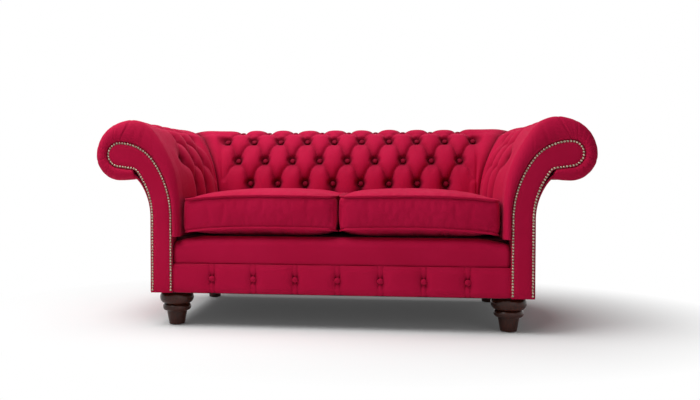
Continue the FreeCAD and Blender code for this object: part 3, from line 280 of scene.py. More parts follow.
crest = along_arcs(OUTLINE_ARCS, (0.0, LEAN_START), np.array([90.0]))
print("crest of the roll at reach", crest[0].round(1), "height", crest[1].round(1))

# %% Places on the arm, on the back and round the rear corners
STRAIGHT_ARM = SEAT_DEPTH - CORNER_RADIUS
STRAIGHT_BACK = INNER_HALF_WIDTH - CORNER_RADIUS


def on_arm(side, reach, height, depth):
    """Beyond the straight run of the arm each millimetre of depth is a degree round the corner."""
    turn = np.radians(np.maximum(depth - STRAIGHT_ARM, 0.0))
    x = INNER_HALF_WIDTH - CORNER_RADIUS + (CORNER_RADIUS + reach) * np.cos(turn)
    y = np.minimum(depth, STRAIGHT_ARM) + (CORNER_RADIUS + reach) * np.sin(turn)
    return np.stack([side * x, FACE_Y + y, height], axis=-1)


def on_back(reach, height, across):
    """The same for the back, where the run goes from one corner to the other."""
    turn = np.radians(np.maximum(np.abs(across) - STRAIGHT_BACK, 0.0))
    x = np.minimum(np.abs(across), STRAIGHT_BACK) + (CORNER_RADIUS + reach) * np.sin(turn)
    y = SEAT_DEPTH - CORNER_RADIUS + (CORNER_RADIUS + reach) * np.cos(turn)
    return np.stack([np.sign(across) * x, FACE_Y + y, height], axis=-1)


print("straight runs:", STRAIGHT_ARM, "mm on the arm,", STRAIGHT_BACK, "mm each way on the back")

# %% [markdown]
# ## Deep buttoning
#
# The maker marks the cloth in diamonds, pulls a button down through the stuffing at each corner and
# tucks the spare cloth into folds that run from button to button.  The depth of the cloth can
# therefore be worked out anywhere from two numbers that count diamonds: `u` and `v` are whole on the
# two families of folds, and a button sits where both are whole.  Between two buttons a fold grows
# shallower, and it bows upwards, because the stuffing below it is fuller.  Past the last button of a
# column the folds run on straight, over the roll or down to the seat.

# %% How deep the cloth lies
ROW_LENGTHS = (67.0, 167.0, 269.0, 348.0)
ROW_TURNS = (9.6, 23.8, 38.4, 78.0)
TUFT_DEPTH = 32.0
ROLL_TUFT_DEPTH = 18.0
FOLD_SHARE = 0.46
BOW = 0.13


def fullness(share):
    """Rise of the stuffing from a fold (0) to the middle of a diamond (1), steep at the fold."""
    soft = 0.22
    rise = np.sqrt(share * (2 - share) + soft**2) - soft
    return (rise / (math.sqrt(1 + soft**2) - soft)) ** 1.05


def to_fold(value):
    """Share of the way from the nearest whole number (0) to halfway between two (1)."""
    return 2 * np.abs(value - np.rint(value))


def buttoning(column, row, off_column, off_row, deep):
    """Depth below the crown at each place, from its column and row of the pattern and its distance
    along the cloth from the nearest of each."""
    bowed = row - BOW * np.sin(np.pi * column) ** 2 * np.sin(np.pi * row) ** 2
    u, v = (column + bowed - 1) / 2, (column - bowed + 1) / 2
    across_u, across_v = to_fold(u), to_fold(v)
    along = FOLD_SHARE + (1 - FOLD_SHARE) * (1 - across_v) ** 2.4
    fold_u = (1 - fullness(across_u)) * along
    along = FOLD_SHARE + (1 - FOLD_SHARE) * (1 - across_u) ** 2.4
    fold_v = (1 - fullness(across_v)) * along
    depth = fold_u + fold_v - fold_u * fold_v
    buttoned = (np.rint(column) + np.rint(row)) % 2 == 1
    seat = np.clip(1 - (np.hypot(off_column, off_row) - 8.0) / 20.0, 0, 1) * buttoned
    seat = seat**2 * (3 - 2 * seat)
    return deep * (depth * (1 - seat) + seat)


print("folds are", FOLD_SHARE, "as deep as the buttons halfway between two of them")

# %% One welded piece of cloth from a grid
def shaped_cloth(name, across, along, place):
    """A grid of quads whose corner (j, i) goes where `place` says, in millimetres, with its fold: how deep
    in a fold it lies, which sets the painted shade there.
    """
    bm = bmesh.new()
    bmesh.ops.create_grid(bm, x_segments=across, y_segments=along, size=0.5)
    mesh = bpy.data.meshes.new(name)
    bm.to_mesh(mesh)
    bm.free()
    flat = np.empty(len(mesh.vertices) * 3, np.float32)
    mesh.vertices.foreach_get("co", flat)
    flat = flat.reshape(-1, 3)
    span = flat.max(axis=0) - flat.min(axis=0)
    share = (flat - flat.min(axis=0))[:, :2] / span[:2]
    column = np.rint(share[:, 0] * across).astype(int)
    row = np.rint(share[:, 1] * along).astype(int)
    points, fold = place(column, row)
    mesh.vertices.foreach_set("co", (points * MM).astype(np.float32).ravel())
    # The fold attribute darkens the velvet's colour: painted shade in folds and seams.
    layer = mesh.attributes.new("fold", "FLOAT", "POINT")
    layer.data.foreach_set("value", np.clip(fold, 0, 1).astype(np.float32).ravel())
    return mesh


def open_runs(bm):
    """The open edges of a mesh, one list for each run of them that hangs together."""
    waiting = {edge for edge in bm.edges if edge.is_boundary}
    runs = []
    while waiting:
        run, front = [], [waiting.pop()]
        while front:
            edge = front.pop()
            run.append(edge)
            beside = {other for vert in edge.verts for other in vert.link_edges} & waiting
            waiting -= beside
            front.extend(beside)
        runs.append(run)
    return runs


def closed(mesh, weld=0.00002, smooth=True):
    """Welds a mesh, fills its open ends and turns its faces outwards."""
    bm = bmesh.new()
    bm.from_mesh(mesh)
    bmesh.ops.remove_doubles(bm, verts=bm.verts, dist=weld)
    bmesh.ops.dissolve_degenerate(bm, edges=bm.edges, dist=0.00001)
    for run in open_runs(bm):
        bmesh.ops.triangle_fill(bm, use_beauty=True, use_dissolve=False, edges=run)
    bmesh.ops.recalc_face_normals(bm, faces=bm.faces)
    if bm.calc_volume(signed=True) < 0:
        bmesh.ops.reverse_faces(bm, faces=bm.faces)
    for face in bm.faces:
        face.smooth = smooth
    still_open = sum(1 for edge in bm.edges if not edge.is_manifold)
    bm.to_mesh(mesh)
    bm.free()
    return still_open


def piece(mesh, finish, body, stands_for=()):
    """Puts a finished mesh in the scene and says what it is to the frame."""
    made = bpy.data.objects.new(mesh.name, mesh)
    bpy.context.scene.collection.objects.link(made)
    mesh.materials.clear()
    mesh.materials.append(finish)
    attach(made, body)
    if stands_for:
        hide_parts(*stands_for)
    return made


print("helpers for cloth pieces are ready")

# %% [markdown]
# ## The rows of the padding
#
# All three pads are grids whose rows follow the outline from the seat to under the roll.  Rows lie
# closer together where there are buttons.  Beside each row's place on the outline, three more
# numbers are kept: its length of cloth from the seat, its row in the button pattern, and the place
# on the wooden core that it is nailed to, which also closes the pad on its inside.

# %% Rows
ROWS = 236
OUTLINE_STRAIGHT = LEAN_START - PAD_FOOT
knots = arc_lengths(OUTLINE_ARCS, OUTLINE_STRAIGHT, np.linspace(0, 283.53, 2000))
whole = knots[-1]
buttoned_length = OUTLINE_STRAIGHT + ROW_LENGTHS[3] + 120.0
buttoned_rows = 170
row_length = np.concatenate(
    [
        np.linspace(0, buttoned_length, buttoned_rows, endpoint=False),
        np.linspace(buttoned_length, whole, ROWS + 1 - buttoned_rows),
    ]
)
row_turn = np.interp(row_length, knots, np.linspace(0, 283.53, 2000))
row_turn[row_length < OUTLINE_STRAIGHT] = 0.0
row_reach, row_height = along_arcs(OUTLINE_ARCS, (0.0, LEAN_START), row_turn)
below = row_length < OUTLINE_STRAIGHT
row_height[below] = PAD_FOOT + row_length[below]
row_pattern = np.interp(row_length - OUTLINE_STRAIGHT, ROW_LENGTHS, range(4))
nearest_row = np.array(ROW_LENGTHS)[np.rint(row_pattern).astype(int)]
row_off = row_length - OUTLINE_STRAIGHT - nearest_row
row_deep = np.interp(
    row_length - OUTLINE_STRAIGHT, (ROW_LENGTHS[2] + 10, ROW_LENGTHS[3]), (TUFT_DEPTH, ROLL_TUFT_DEPTH)
)
past_crest = np.clip((row_length - OUTLINE_STRAIGHT - ROW_LENGTHS[3]) / 520.0, 0, 1)
row_deep = row_deep * (1 - 0.55 * past_crest)
above_foot = np.clip((row_length - 8.0) / 60.0, 0, 1)
row_deep = row_deep * (0.35 + 0.65 * above_foot)
row_swell = np.cos(np.radians(np.minimum(90.0, 1.6 * row_turn)))

core_turn = np.interp(row_turn, (0, 40, 90, 180, 270), (0, 35, 90, 180, 262))
CORE_INNER = 24.0
core_arcs = [(low, high, radius + 1.0) for low, high, radius in FACING_ARCS]
core_reach, core_height = along_arcs(core_arcs, (CORE_INNER, FACING_START), core_turn)
core_height[below] = PAD_FOOT + (FACING_START - PAD_FOOT) * row_length[below] / OUTLINE_STRAIGHT
under = np.clip((row_turn - 270.0) / 13.53, 0, 1)
core_reach -= under * 54.5 * math.cos(math.radians(8))
core_height -= under * 54.5 * math.sin(math.radians(8))
print(ROWS + 1, "rows over", round(float(whole)), "mm of cloth")

# %% [markdown]
# ## The back pad
#
# The back is one long pad with ten columns of buttons and nine between them, 57 mm apart.  Its grid
# goes across from the middle of one rear corner to the middle of the other, closes over the end, runs
# back inside along the core and closes again.  At the two corners it folds in to meet the arms.

# %% Stations across the back
BACK_SWELL = 28.0
CORNER_SWELL = 24.0
CORNER_CREASE = 14.0
BACK_COLUMN = 57.0
LAST_COLUMN = 9.0
CORNER_STEPS = 34
straight_steps = 280
corner = np.linspace(0, 45, CORNER_STEPS + 1)[1:]
back_across = np.concatenate(
    [
        -(STRAIGHT_BACK + corner[::-1]),
        np.linspace(-STRAIGHT_BACK, STRAIGHT_BACK, straight_steps + 1),
        STRAIGHT_BACK + corner,
    ]
)


def corner_in(turn):
    """How far a pad draws in towards the fold in the middle of the corner, `turn` degrees round."""
    return CORNER_CREASE * np.clip((turn - 22.0) / 23.0, 0, 1) ** 2.2


def wobble(a, b, amount):
    """The small unevenness of hand-tied stuffing, the same each time."""
    return amount * (np.sin(a * 1.7 + 0.6 * np.sin(b * 2.3)) + np.sin(b * 1.3 + 0.8 * np.sin(a * 0.9)))


OUTER, INNER_STEPS = len(back_across), 8


def back_place(column, row):
    """Outer cloth first, then the inside of the pad from the right end back to the left."""
    inside = column >= OUTER
    station = np.clip(column, 0, OUTER - 1)
    share = np.clip(column - OUTER, 0, INNER_STEPS) / INNER_STEPS
    across = np.where(inside, back_across[-1] * (1 - 2 * share), back_across[station])
    turn = np.maximum(np.abs(across) - STRAIGHT_BACK, 0)
    pattern_column = np.clip(across / BACK_COLUMN, -LAST_COLUMN, LAST_COLUMN)
    beyond = np.clip(turn / 24.0, 0, 1)
    end_fade = 1 - beyond * beyond * (3 - 2 * beyond)
    no_button = np.clip((np.abs(pattern_column) - 8.15) / 0.6, 0, 1)
    no_button = no_button * np.clip(1 - row_pattern[row] / 0.9, 0, 1)
    deep = buttoning(
        pattern_column + 0.02 * np.sin(row * 0.13 + across * 0.021),
        row_pattern[row],
        np.abs(across - BACK_COLUMN * np.rint(pattern_column)),
        row_off[row],
        row_deep[row] * end_fade * (1 - no_button),
    )
    swell = np.interp(turn, (0, 11), (BACK_SWELL, CORNER_SWELL)) * row_swell[row]
    crown = swell - corner_in(turn) + wobble(across / 40.0, row_length[row] / 40.0, 0.7)
    offset = crown - deep
    heading = np.radians(row_turn[row])
    reach = np.where(inside, core_reach[row], row_reach[row] - offset * np.cos(heading))
    height = np.where(inside, core_height[row], row_height[row] + offset * np.sin(heading))
    height = np.where(row_length[row] < 1, PAD_FOOT, height)
    # Painted shade: the velvet is darkened in the tufted folds and in the fold at the corner, not on the
    # inside of the pad.
    fold = np.where(inside, 0, deep / TUFT_DEPTH + corner_in(turn) / CORNER_CREASE * 0.8)
    return on_back(reach, height, across), fold


back_mesh = shaped_cloth("back_velvet", OUTER + INNER_STEPS, ROWS, back_place)
left_open = closed(back_mesh)
piece(back_mesh, velvet, "frame", ["back_pad"])
print("back pad:", len(back_mesh.polygons), "faces,", left_open, "open edges")

# %% [markdown]
# ## The arm pads
#
# An arm has six columns of buttons, 66 mm apart, and a plain stretch in front of them.  At its front
# the cloth rolls over the edge and is gathered inwards to the nailed facing.  So the grid starts at
# the facing's edge, climbs over a half-round front, runs back along the arm and turns the corner to
# meet the back.  Gathers lie where a hand would put them: more of them round the tight scroll, none
# alike.

# %% Stations along the arm
ARM_FIRST = 190.0
ARM_COLUMN = 66.2
ARM_LAST = 5.0
RING_STEPS = 26
RING_START = 4.0
RING_END = 14.0
RING_BULGE = 20.0
ARM_SWELLS = (
    (60.0, 0.0),
    (125.0, 7.0),
    (ARM_FIRST, 14.0),
    (STRAIGHT_ARM, 26.0),
    (STRAIGHT_ARM + 11, CORNER_SWELL),
)
arm_depths = np.concatenate([np.linspace(RING_END, STRAIGHT_ARM, 140), STRAIGHT_ARM + corner])
ARM_OUTER = RING_STEPS + len(arm_depths)

# Gathers: length of cloth from the seat, strength and lean of each.
GATHERS = (
    (388, 0.35, 8), (425, 0.6, 10), (452, 0.3, 4), (480, 0.9, 6), (515, 0.4, 2), (541, 0.75, -3),
    (566, 0.45, -2), (592, 0.65, 3), (617, 0.35, 2), (642, 0.7, -4), (668, 0.4, 1), (697, 0.85, 5),
    (727, 0.45, 2), (757, 0.65, -3), (790, 0.5, 2), (330, 0.25, 6), (270, 0.2, 5),
)


def gathers(length, share, behind):
    """Depth of the gathers at a row, `share` of the way from the facing to the outline."""
    depth = np.zeros_like(length)
    for k, (at, strength, lean) in enumerate(GATHERS):
        centre = at + lean * (1 - share) + 1.5 * np.sin(4 * share + k)
        width = 2.2 + 2.4 * share + 0.5 * np.sin(k * 2.1)
        reach = np.clip(1 - share * (1.15 - 0.55 * strength), 0, 1)
        fold = np.exp(-(((length - centre) / width) ** 2))
        lip = np.exp(-(((length - centre - 2.1 * width) / (1.5 * width)) ** 2))
        depth += strength * (3.0 * fold - 1.5 * lip) * reach * np.exp(-behind / (25 + 55 * strength))
    return depth


def arm_place(side):
    def place(column, row):
        inside = column >= ARM_OUTER
        ring = column < RING_STEPS
        station = np.clip(column - RING_STEPS, 0, len(arm_depths) - 1)
        depth = arm_depths[station]
        turn = np.maximum(depth - STRAIGHT_ARM, 0)
        pattern_column = np.clip((depth - ARM_FIRST) / ARM_COLUMN, 0, ARM_LAST)
        past = np.clip(turn / 24.0, 0, 1)
        before = np.clip((ARM_FIRST - depth) / 95.0, 0, 1)
        end_fade = (1 - past * past * (3 - 2 * past)) * (1 - before) ** 1.6
        low_end = np.clip((pattern_column - ARM_LAST + 0.85) / 0.6, 0, 1)
        no_button = low_end * np.clip(1 - row_pattern[row] / 0.9, 0, 1)
        deep = buttoning(
            pattern_column + 0.02 * np.sin(row * 0.15 + depth * 0.024),
            row_pattern[row],
            np.abs(depth - ARM_FIRST - ARM_COLUMN * np.rint(pattern_column)),
            row_off[row],
            row_deep[row] * end_fade * (1 - no_button),
        )
        swell = np.interp(depth, *zip(*ARM_SWELLS)) * row_swell[row]
        crown = swell - corner_in(turn) + wobble(depth / 40.0, row_length[row] / 40.0, 0.6)
        behind = np.maximum(depth - RING_END, 0)
        offset = crown - deep - gathers(row_length[row], np.ones_like(depth), behind)
        heading = np.radians(row_turn[row])
        reach = row_reach[row] - offset * np.cos(heading)
        height = row_height[row] + offset * np.sin(heading)

        angle = np.pi * column / RING_STEPS
        share = (1 - np.cos(angle)) / 2
        ring_rise = np.maximum(np.sin(angle), 0)
        edge_offset = wobble(RING_END / 40.0, row_length[row] / 40.0, 0.6)
        edge_offset -= gathers(row_length[row], np.ones_like(depth), 0.0)
        edge_reach = row_reach[row] - edge_offset * np.cos(heading)
        edge_height = row_height[row] + edge_offset * np.sin(heading)
        tuck = gathers(row_length[row], share, 0.0) * ring_rise ** 0.7
        ring_depth = RING_START + (RING_END - RING_START) * share
        ring_depth = ring_depth - RING_BULGE * ring_rise ** 0.9 + tuck
        ring_reach = core_reach[row] + (edge_reach - core_reach[row]) * share
        ring_height = core_height[row] + (edge_height - core_height[row]) * share

        back_share = np.clip(column - ARM_OUTER, 0, INNER_STEPS) / INNER_STEPS
        wall_depth = arm_depths[-1] + (RING_START - arm_depths[-1]) * back_share
        reach = np.where(ring, ring_reach, np.where(inside, core_reach[row], reach))
        height = np.where(ring, ring_height, np.where(inside, core_height[row], height))
        depth = np.where(ring, ring_depth, np.where(inside, wall_depth, depth))
        height = np.where(row_length[row] < 1, PAD_FOOT, height)
        # Painted shade: darkened in the tufted folds, the corner fold and the gathers of the front ring,
        # not on the inside of the pad.
        fold = deep / TUFT_DEPTH + corner_in(turn) / CORNER_CREASE * 0.8
        fold = np.where(ring, np.clip(tuck / 5.0, 0, 1), np.where(inside, 0, fold))
        return on_arm(side, reach, height, depth), fold

    return place


for hand, side in (("left", -1), ("right", 1)):
    arm_mesh = shaped_cloth(hand + "_arm_velvet", ARM_OUTER + INNER_STEPS, ROWS, arm_place(side))
    left_open = closed(arm_mesh)
    piece(arm_mesh, velvet, "frame", [hand + "_arm_pad"])
    print(hand, "arm pad:", len(arm_mesh.polygons), "faces,", left_open, "open edges")

# %% [markdown]
# ## Covered buttons
#
# A button is a metal shell with a circle of the same velvet pressed over it.  Its face is a low dome
# with a rounded rim.  One profile is spun round its axis, and copies are set down in each hollow,
# facing the way the cloth faces there.

# %% One button
BUTTON_PROFILE = ((0.0, 4.6), (4.0, 4.4), (7.4, 3.5), (9.6, 2.0), (10.4, 0.4), (9.6, -1.4), (0.0, -1.6))
BUTTON_SINK = 5.0


def turned(profile, segments):
    """A closed form turned about the upright axis from (radius, height) points, in millimetres."""
    bm = bmesh.new()
    line = [bm.verts.new((radius * MM, 0, height * MM)) for radius, height in profile]
    edges = [bm.edges.new(pair) for pair in zip(line, line[1:])]
    bmesh.ops.spin(
        bm,
        geom=line + edges,
        cent=(0, 0, 0),
        axis=(0, 0, 1),
        angle=2 * math.pi,
        steps=segments,
        use_merge=True,
    )
    bmesh.ops.remove_doubles(bm, verts=bm.verts, dist=0.00001)
    bmesh.ops.recalc_face_normals(bm, faces=bm.faces)
    for face in bm.faces:
        face.smooth = True
    return bm


def set_down(name, profile, segments, places):
    """One mesh with a copy of the turned form at each (foot, direction), in millimetres."""
    whole_mesh = bmesh.new()
    for foot, direction in places:
        one = turned(profile, segments)
        turn = Vector(direction).to_track_quat("Z", "Y").to_matrix().to_4x4()
        bmesh.ops.transform(one, matrix=Matrix.Translation(Vector(foot) * MM) @ turn, verts=one.verts)
        part = bpy.data.meshes.new("part")
        one.to_mesh(part)
        one.free()
        whole_mesh.from_mesh(part)
        bpy.data.meshes.remove(part)
    mesh = bpy.data.meshes.new(name)
    whole_mesh.to_mesh(mesh)
    whole_mesh.free()
    return mesh


def button_place(on, row_number, swell):
    """Foot and direction of a button in row 0 to 3 of the pattern, at a swell of the padding."""
    turn = np.array([ROW_TURNS[row_number]])
    heading = math.radians(turn[0])
    reach, height = along_arcs(OUTLINE_ARCS, (0.0, LEAN_START), turn)
    deep = TUFT_DEPTH if row_number < 3 else ROLL_TUFT_DEPTH
    lift = swell * math.cos(math.radians(min(90.0, 1.6 * turn[0]))) - deep + BUTTON_SINK
    ends = []
    for out in (lift, lift + 1):
        ends.append(on(reach - out * math.cos(heading), height + out * math.sin(heading))[0])
    return ends[0], ends[1] - ends[0]


# %% Buttons in the back and the arms
# Sets one amount of painted shade on every point of a mesh, through the fold attribute.
def painted_shade_everywhere(mesh, value):
    layer = mesh.attributes.new("fold", "FLOAT", "POINT")
    layer.data.foreach_set("value", [value] * len(mesh.vertices))


places = []
for k in range(-9, 10):
    for row_number in ((0, 2) if k % 2 else (1, 3)):
        if abs(k) == 9 and row_number == 0:
            continue
        spot = np.array([k * BACK_COLUMN])
        places.append(button_place(lambda r, z: on_back(r, z, spot), row_number, BACK_SWELL))
buttons = set_down("back_velvet_buttons", BUTTON_PROFILE, 14, places)
# Painted shade: the buttons in the back sit in hollows and are painted darker all over.
painted_shade_everywhere(buttons, 0.7)
piece(buttons, velvet, "frame", ["back_buttons"])
print("buttons in the back:", len(places))

for hand, side in (("left", -1), ("right", 1)):
    places = []
    for k in range(6):
        for row_number in ((0, 2) if k % 2 else (1, 3)):
            if k == 5 and row_number == 0:
                continue
            spot = np.array([ARM_FIRST + k * ARM_COLUMN])
            swell = float(np.interp(spot[0], *zip(*ARM_SWELLS)))
            places.append(button_place(lambda r, z: on_arm(side, r, z, spot), row_number, swell))
    buttons = set_down(hand + "_arm_velvet_buttons", BUTTON_PROFILE, 14, places)
    # Painted shade: the arm buttons are painted darker all over, as in their hollows.
    painted_shade_everywhere(buttons, 0.7)
    piece(buttons, velvet, "frame", [hand + "_arm_buttons"])
print("buttons in each arm:", len(places))

# %% [markdown]
# ## The nailed facings
#
# The front of each arm is closed by a board cut to the scroll, padded thinly and covered, and nailed
# through its edge with domed nails set shoulder to shoulder.  The outline is a handful of arcs, so
# it is drawn once as points, a little inside or outside as asked.  The board is that outline drawn
# out to a thickness, and its front is inset in steps that rise towards the middle, as thin wadding
# under tight cloth does.

# %% The facing's outline
BASE_Z = 121.6
FACING_INNER = 25.0
FACING_OUTER = 99.0
FILLET = ((167.05, 531.04), 20.0, 98.0, 143.57)
FLARE = ((364.96, 385.0), 265.96, 143.57, 180.0)
FACING_FRONT = -2.0
FACING_BACK = 12.7


def facing_outline(inset, step=5.0):
    """Points from the inner foot over the scroll to the outer foot, `inset` inside the edge."""
    turns = np.concatenate([[0.0], np.arange(2, 262, 4.0), [262.0]])
    arcs = [(low, high, radius - inset) for low, high, radius in FACING_ARCS]
    reach, height = along_arcs(arcs, (FACING_INNER + inset, FACING_START), turns)
    points = [(FACING_INNER + inset, BASE_Z)] + list(zip(reach, height))
    for centre, radius, start, end in (FILLET, FLARE):
        for angle in np.radians(np.linspace(start, end, 14)):
            away = radius + inset
            points.append((centre[0] + away * math.cos(angle), centre[1] + away * math.sin(angle)))
    points.append((FACING_OUTER - inset, BASE_Z))
    points = np.array(points)
    length = np.concatenate([[0], np.cumsum(np.hypot(*np.diff(points, axis=0).T))])
    even = np.linspace(0, length[-1], int(length[-1] / step) + 1)
    return np.stack([np.interp(even, length, points[:, k]) for k in range(2)], axis=1), length[-1]


edge_length = facing_outline(0.0)[1]
print("edge of a facing:", round(float(edge_length)), "mm")

# %% Facing boards
FACING_STEPS = (
    (-0.4, FACING_BACK),
    (-0.4, -0.6),
    (0.0, -1.5),
    (1.2, FACING_FRONT),
    (7.0, FACING_FRONT),
    (8.8, -2.7),
    (12.0, -4.0),
    (17.0, -5.0),
    (24.0, -5.4),
)


def facing_place(side):
    rings = []
    for inset, depth in FACING_STEPS:
        outline, _ = facing_outline(inset)
        share = np.linspace(0, len(outline) - 1, 205)
        ring = np.stack([np.interp(share, range(len(outline)), outline[:, k]) for k in (0, 1)], axis=1)
        low = np.minimum(ring[:, 1], FACING_START)
        squeeze = (FACING_START - BASE_Z - max(inset, 0)) / (FACING_START - BASE_Z)
        ring[:, 1] += (FACING_START - (FACING_START - low) * squeeze) - low
        ring = np.vstack([ring, ring[:1]])
        rings.append(on_arm(side, ring[:, 0], ring[:, 1], np.full(len(ring), depth)))
    rings = np.array(rings)
    # Painted shade: the edge rings of the facing, by the nails, are painted darker than its front.
    return lambda column, row: (rings[row, column], np.where(row < 4, 0.25, 0.05))


for hand, side in (("left", -1), ("right", 1)):
    facing = shaped_cloth(hand + "_facing_velvet", 205, len(FACING_STEPS) - 1, facing_place(side))
    left_open = closed(facing)
    piece(facing, velvet, "frame", [hand + "_arm_facing"])
    print(hand, "facing:", len(facing.polygons), "faces,", left_open, "open edges")

# %% [markdown]
# ## Domed nails
#
# Antique-finished nails have a head of about 9 mm, worn pale on the dome and dark where the head
# meets the cloth.  They are spun from a short profile with few faces, because there are well over a
# hundred round each facing.

# %% Nails
NAIL_PROFILE = ((0.0, 3.0), (2.2, 2.5), (3.7, 1.4), (4.4, 0.2), (4.2, -0.4), (0.0, -0.5))
NAIL_INSET = 4.6
NAIL_PITCH = 10.0


def nail_metal(place):
    worn = noise(place, 260.0, 2.0).held(0.35, 0.65)
    return worn.between((0.13, 0.095, 0.065), (0.52, 0.44, 0.34))


nail_finish = new_finish(
    "antique_nail",
    {"Metallic": 1.0},
    nail_metal,
    lambda place: 0.24 + 0.25 * noise(place, 400.0),
    lambda place: noise(place, 700.0),
    0.0001,
)
for hand, side in (("left", -1), ("right", 1)):
    path, length = facing_outline(NAIL_INSET, 1.0)
    count = round((length - 2 * NAIL_INSET) / NAIL_PITCH)
    run = np.linspace(0, len(path) - 1, count + 2)[1:-1]
    spots = [np.array([np.interp(at, range(len(path)), path[:, k]) for k in (0, 1)]) for at in run]
    places = [
        (on_arm(side, r, z, np.array(FACING_FRONT - 0.1)), (0, -1, 0)) for r, z in spots
    ]
    nails = set_down(hand + "_nails", NAIL_PROFILE, 10, places)
    piece(nails, nail_finish, "frame", [hand + "_facing_nails"])
print("nails round each facing:", count)

# %% [markdown]
# ## The outside covers
#
# The outsides of the arms and the back are single lengths of velvet, stretched flat and tacked under
# the roll.  They rise straight, flare out to the neck of the roll and are cut to its curve, which
# climbs where the roll turns the rear corner.  Each is a grid given a thickness, with a little
# fullness in its middle and edges that round over.

# %% Where the roll's underside is
PANEL_OUT = 104.5
PANEL_THICK = 4.0
RETURN_DEPTH = 16.0
FLARE_START = 385.0
FLARE_RADIUS = 211.08
BACK_PANEL_DEPTH = 760.0
ROLL_UNDER = (214.0, 515.0, 252.2)
ROLL_NOSE = (599.0, 84.0)


def underside(reach):
    """Height of the roll's underside at a reach."""
    inwards = np.minimum(ROLL_UNDER[0] - reach, 200)
    inner = ROLL_UNDER[1] + ROLL_UNDER[2] - np.sqrt(ROLL_UNDER[2] ** 2 - inwards**2)
    outer = ROLL_NOSE[0] - np.sqrt(ROLL_NOSE[1] ** 2 - np.clip(reach - ROLL_UNDER[0], 0, 80) ** 2)
    return np.where(reach < ROLL_UNDER[0], inner, outer)


def flare_out(height):
    """Reach of the outside cover at a height."""
    rise = np.maximum(height - FLARE_START, 0)
    return PANEL_OUT + FLARE_RADIUS - np.sqrt(FLARE_RADIUS**2 - rise**2)


def facing_edge(height):
    """Reach of the facing's outer edge at a height."""
    rise = np.clip(height - FLARE_START, 0, 150)
    return FLARE[0][0] - np.sqrt(FLARE[1] ** 2 - rise**2) + 1.0


def rounded(share, width, length):
    """Drop of an edge that rounds over `width` mm of a side `length` mm long, as a share."""
    near = np.clip(1 - np.minimum(share, 1 - share) * length / width, 0, 1)
    return 1 - np.sqrt(1 - near**2)


def thick(mesh, thickness):
    bm = bmesh.new()
    bm.from_mesh(mesh)
    bmesh.ops.recalc_face_normals(bm, faces=bm.faces)
    bmesh.ops.solidify(bm, geom=bm.faces[:], thickness=thickness * MM)
    bmesh.ops.recalc_face_normals(bm, faces=bm.faces)
    for face in bm.faces:
        face.smooth = True
    bm.to_mesh(mesh)
    bm.free()


# %% Outside of the arms
ARM_PANEL_BACK = 755.0
for hand, side in (("left", -1), ("right", 1)):
    def panel_place(column, row):
        along, up = (column / 150) ** 1.6, row / 80
        depth = FACING_FRONT + 0.5 + (ARM_PANEL_BACK - FACING_FRONT) * along
        past = np.maximum(depth - STRAIGHT_ARM, 0)
        radial = np.hypot(CORNER_RADIUS + flare_out(np.full_like(depth, 520.0)), past) - CORNER_RADIUS
        top = np.minimum(underside(radial) + 18.0, 548.0)
        height = BASE_Z + (top - BASE_Z) * up
        full = 2.2 * (np.sin(np.pi * along) * np.sin(np.pi * np.minimum(up * 1.15, 1))) ** 0.6
        drop = 2.0 * rounded(np.minimum(up, 0.5), 4.0, 400.0)
        drop = drop + 3.5 * rounded(np.maximum(along, 0.5), 5.0, 757.0)
        out = flare_out(height) - 0.6 + full - drop + wobble(depth / 90.0, height / 90.0, 0.35)
        return_depth = np.interp(height, (505.0, 528.0), (RETURN_DEPTH, 3.0))
        behind = np.clip((depth - FACING_FRONT) / return_depth, 0, 1)
        turn_in = np.sqrt(1 - (1 - behind) ** 2)
        out = facing_edge(height) + (out - facing_edge(height)) * turn_in
        line = on_arm(side, out, height, np.minimum(depth, STRAIGHT_ARM))
        line[:, 1] += past
        # Painted shade: darker towards the front and back ends, where the cover rounds over.
        return line, 0.5 * rounded(along, 6.0, 757.0)

    panel = shaped_cloth(hand + "_outside_arm_velvet", 150, 80, panel_place)
    thick(panel, PANEL_THICK)
    piece(panel, velvet, "frame", [hand + "_outside_arm_panel"])

    # The inside of the arm runs on down behind the lip, where it is tacked to the rail.
    def tuck_place(column, row):
        height = 286.0 + 36.0 * row / 8
        depth = 13.5 + 55.0 * column / 16
        reach = 26.2 - 1.4 * np.sin(np.pi * column / 16)
        # Painted shade: the whole strip behind the lip is painted darker.
        return on_arm(side, reach, height, depth), np.full(np.shape(row), 0.5)

    tuck = shaped_cloth(hand + "_arm_tuck_velvet", 16, 8, tuck_place)
    thick(tuck, 1.5)
    piece(tuck, velvet, "frame")

# %% Outside of the back
def back_panel_place(column, row):
    along, up = column / 220, row / 80
    side_out = INNER_HALF_WIDTH + flare_out(np.full_like(along, 400.0))
    across = (2 * along - 1) * (INNER_HALF_WIDTH + 100.0)
    for _ in range(3):
        past = np.maximum(np.abs(across) - STRAIGHT_BACK, 0)
        radial = np.hypot(CORNER_RADIUS + 198.0, past) - CORNER_RADIUS
        top = np.minimum(underside(radial) + 4.0, 540.0)
        height = BASE_Z + (top - BASE_Z) * up
        side_out = INNER_HALF_WIDTH + flare_out(height)
        across = (2 * along - 1) * side_out
    full = 3.0 * (np.sin(np.pi * along) * np.sin(np.pi * np.minimum(up * 1.1, 1))) ** 0.6
    drop = 4.0 * rounded(along, 5.0, 1300.0) + 2.0 * rounded(np.minimum(up, 0.5), 4.0, 400.0)
    depth = BACK_PANEL_DEPTH - 0.5 + full - drop + wobble(across / 120.0, height / 120.0, 0.4)
    # Painted shade: darker at the two ends, where the cover rounds over.
    return np.stack([across, FACE_Y + depth, height], axis=-1), 0.5 * rounded(along, 6.0, 1300.0)


panel = shaped_cloth("outside_back_velvet", 220, 80, back_panel_place)
thick(panel, PANEL_THICK)
piece(panel, velvet, "frame", ["outside_back_panel"])
print("outside covers in place")

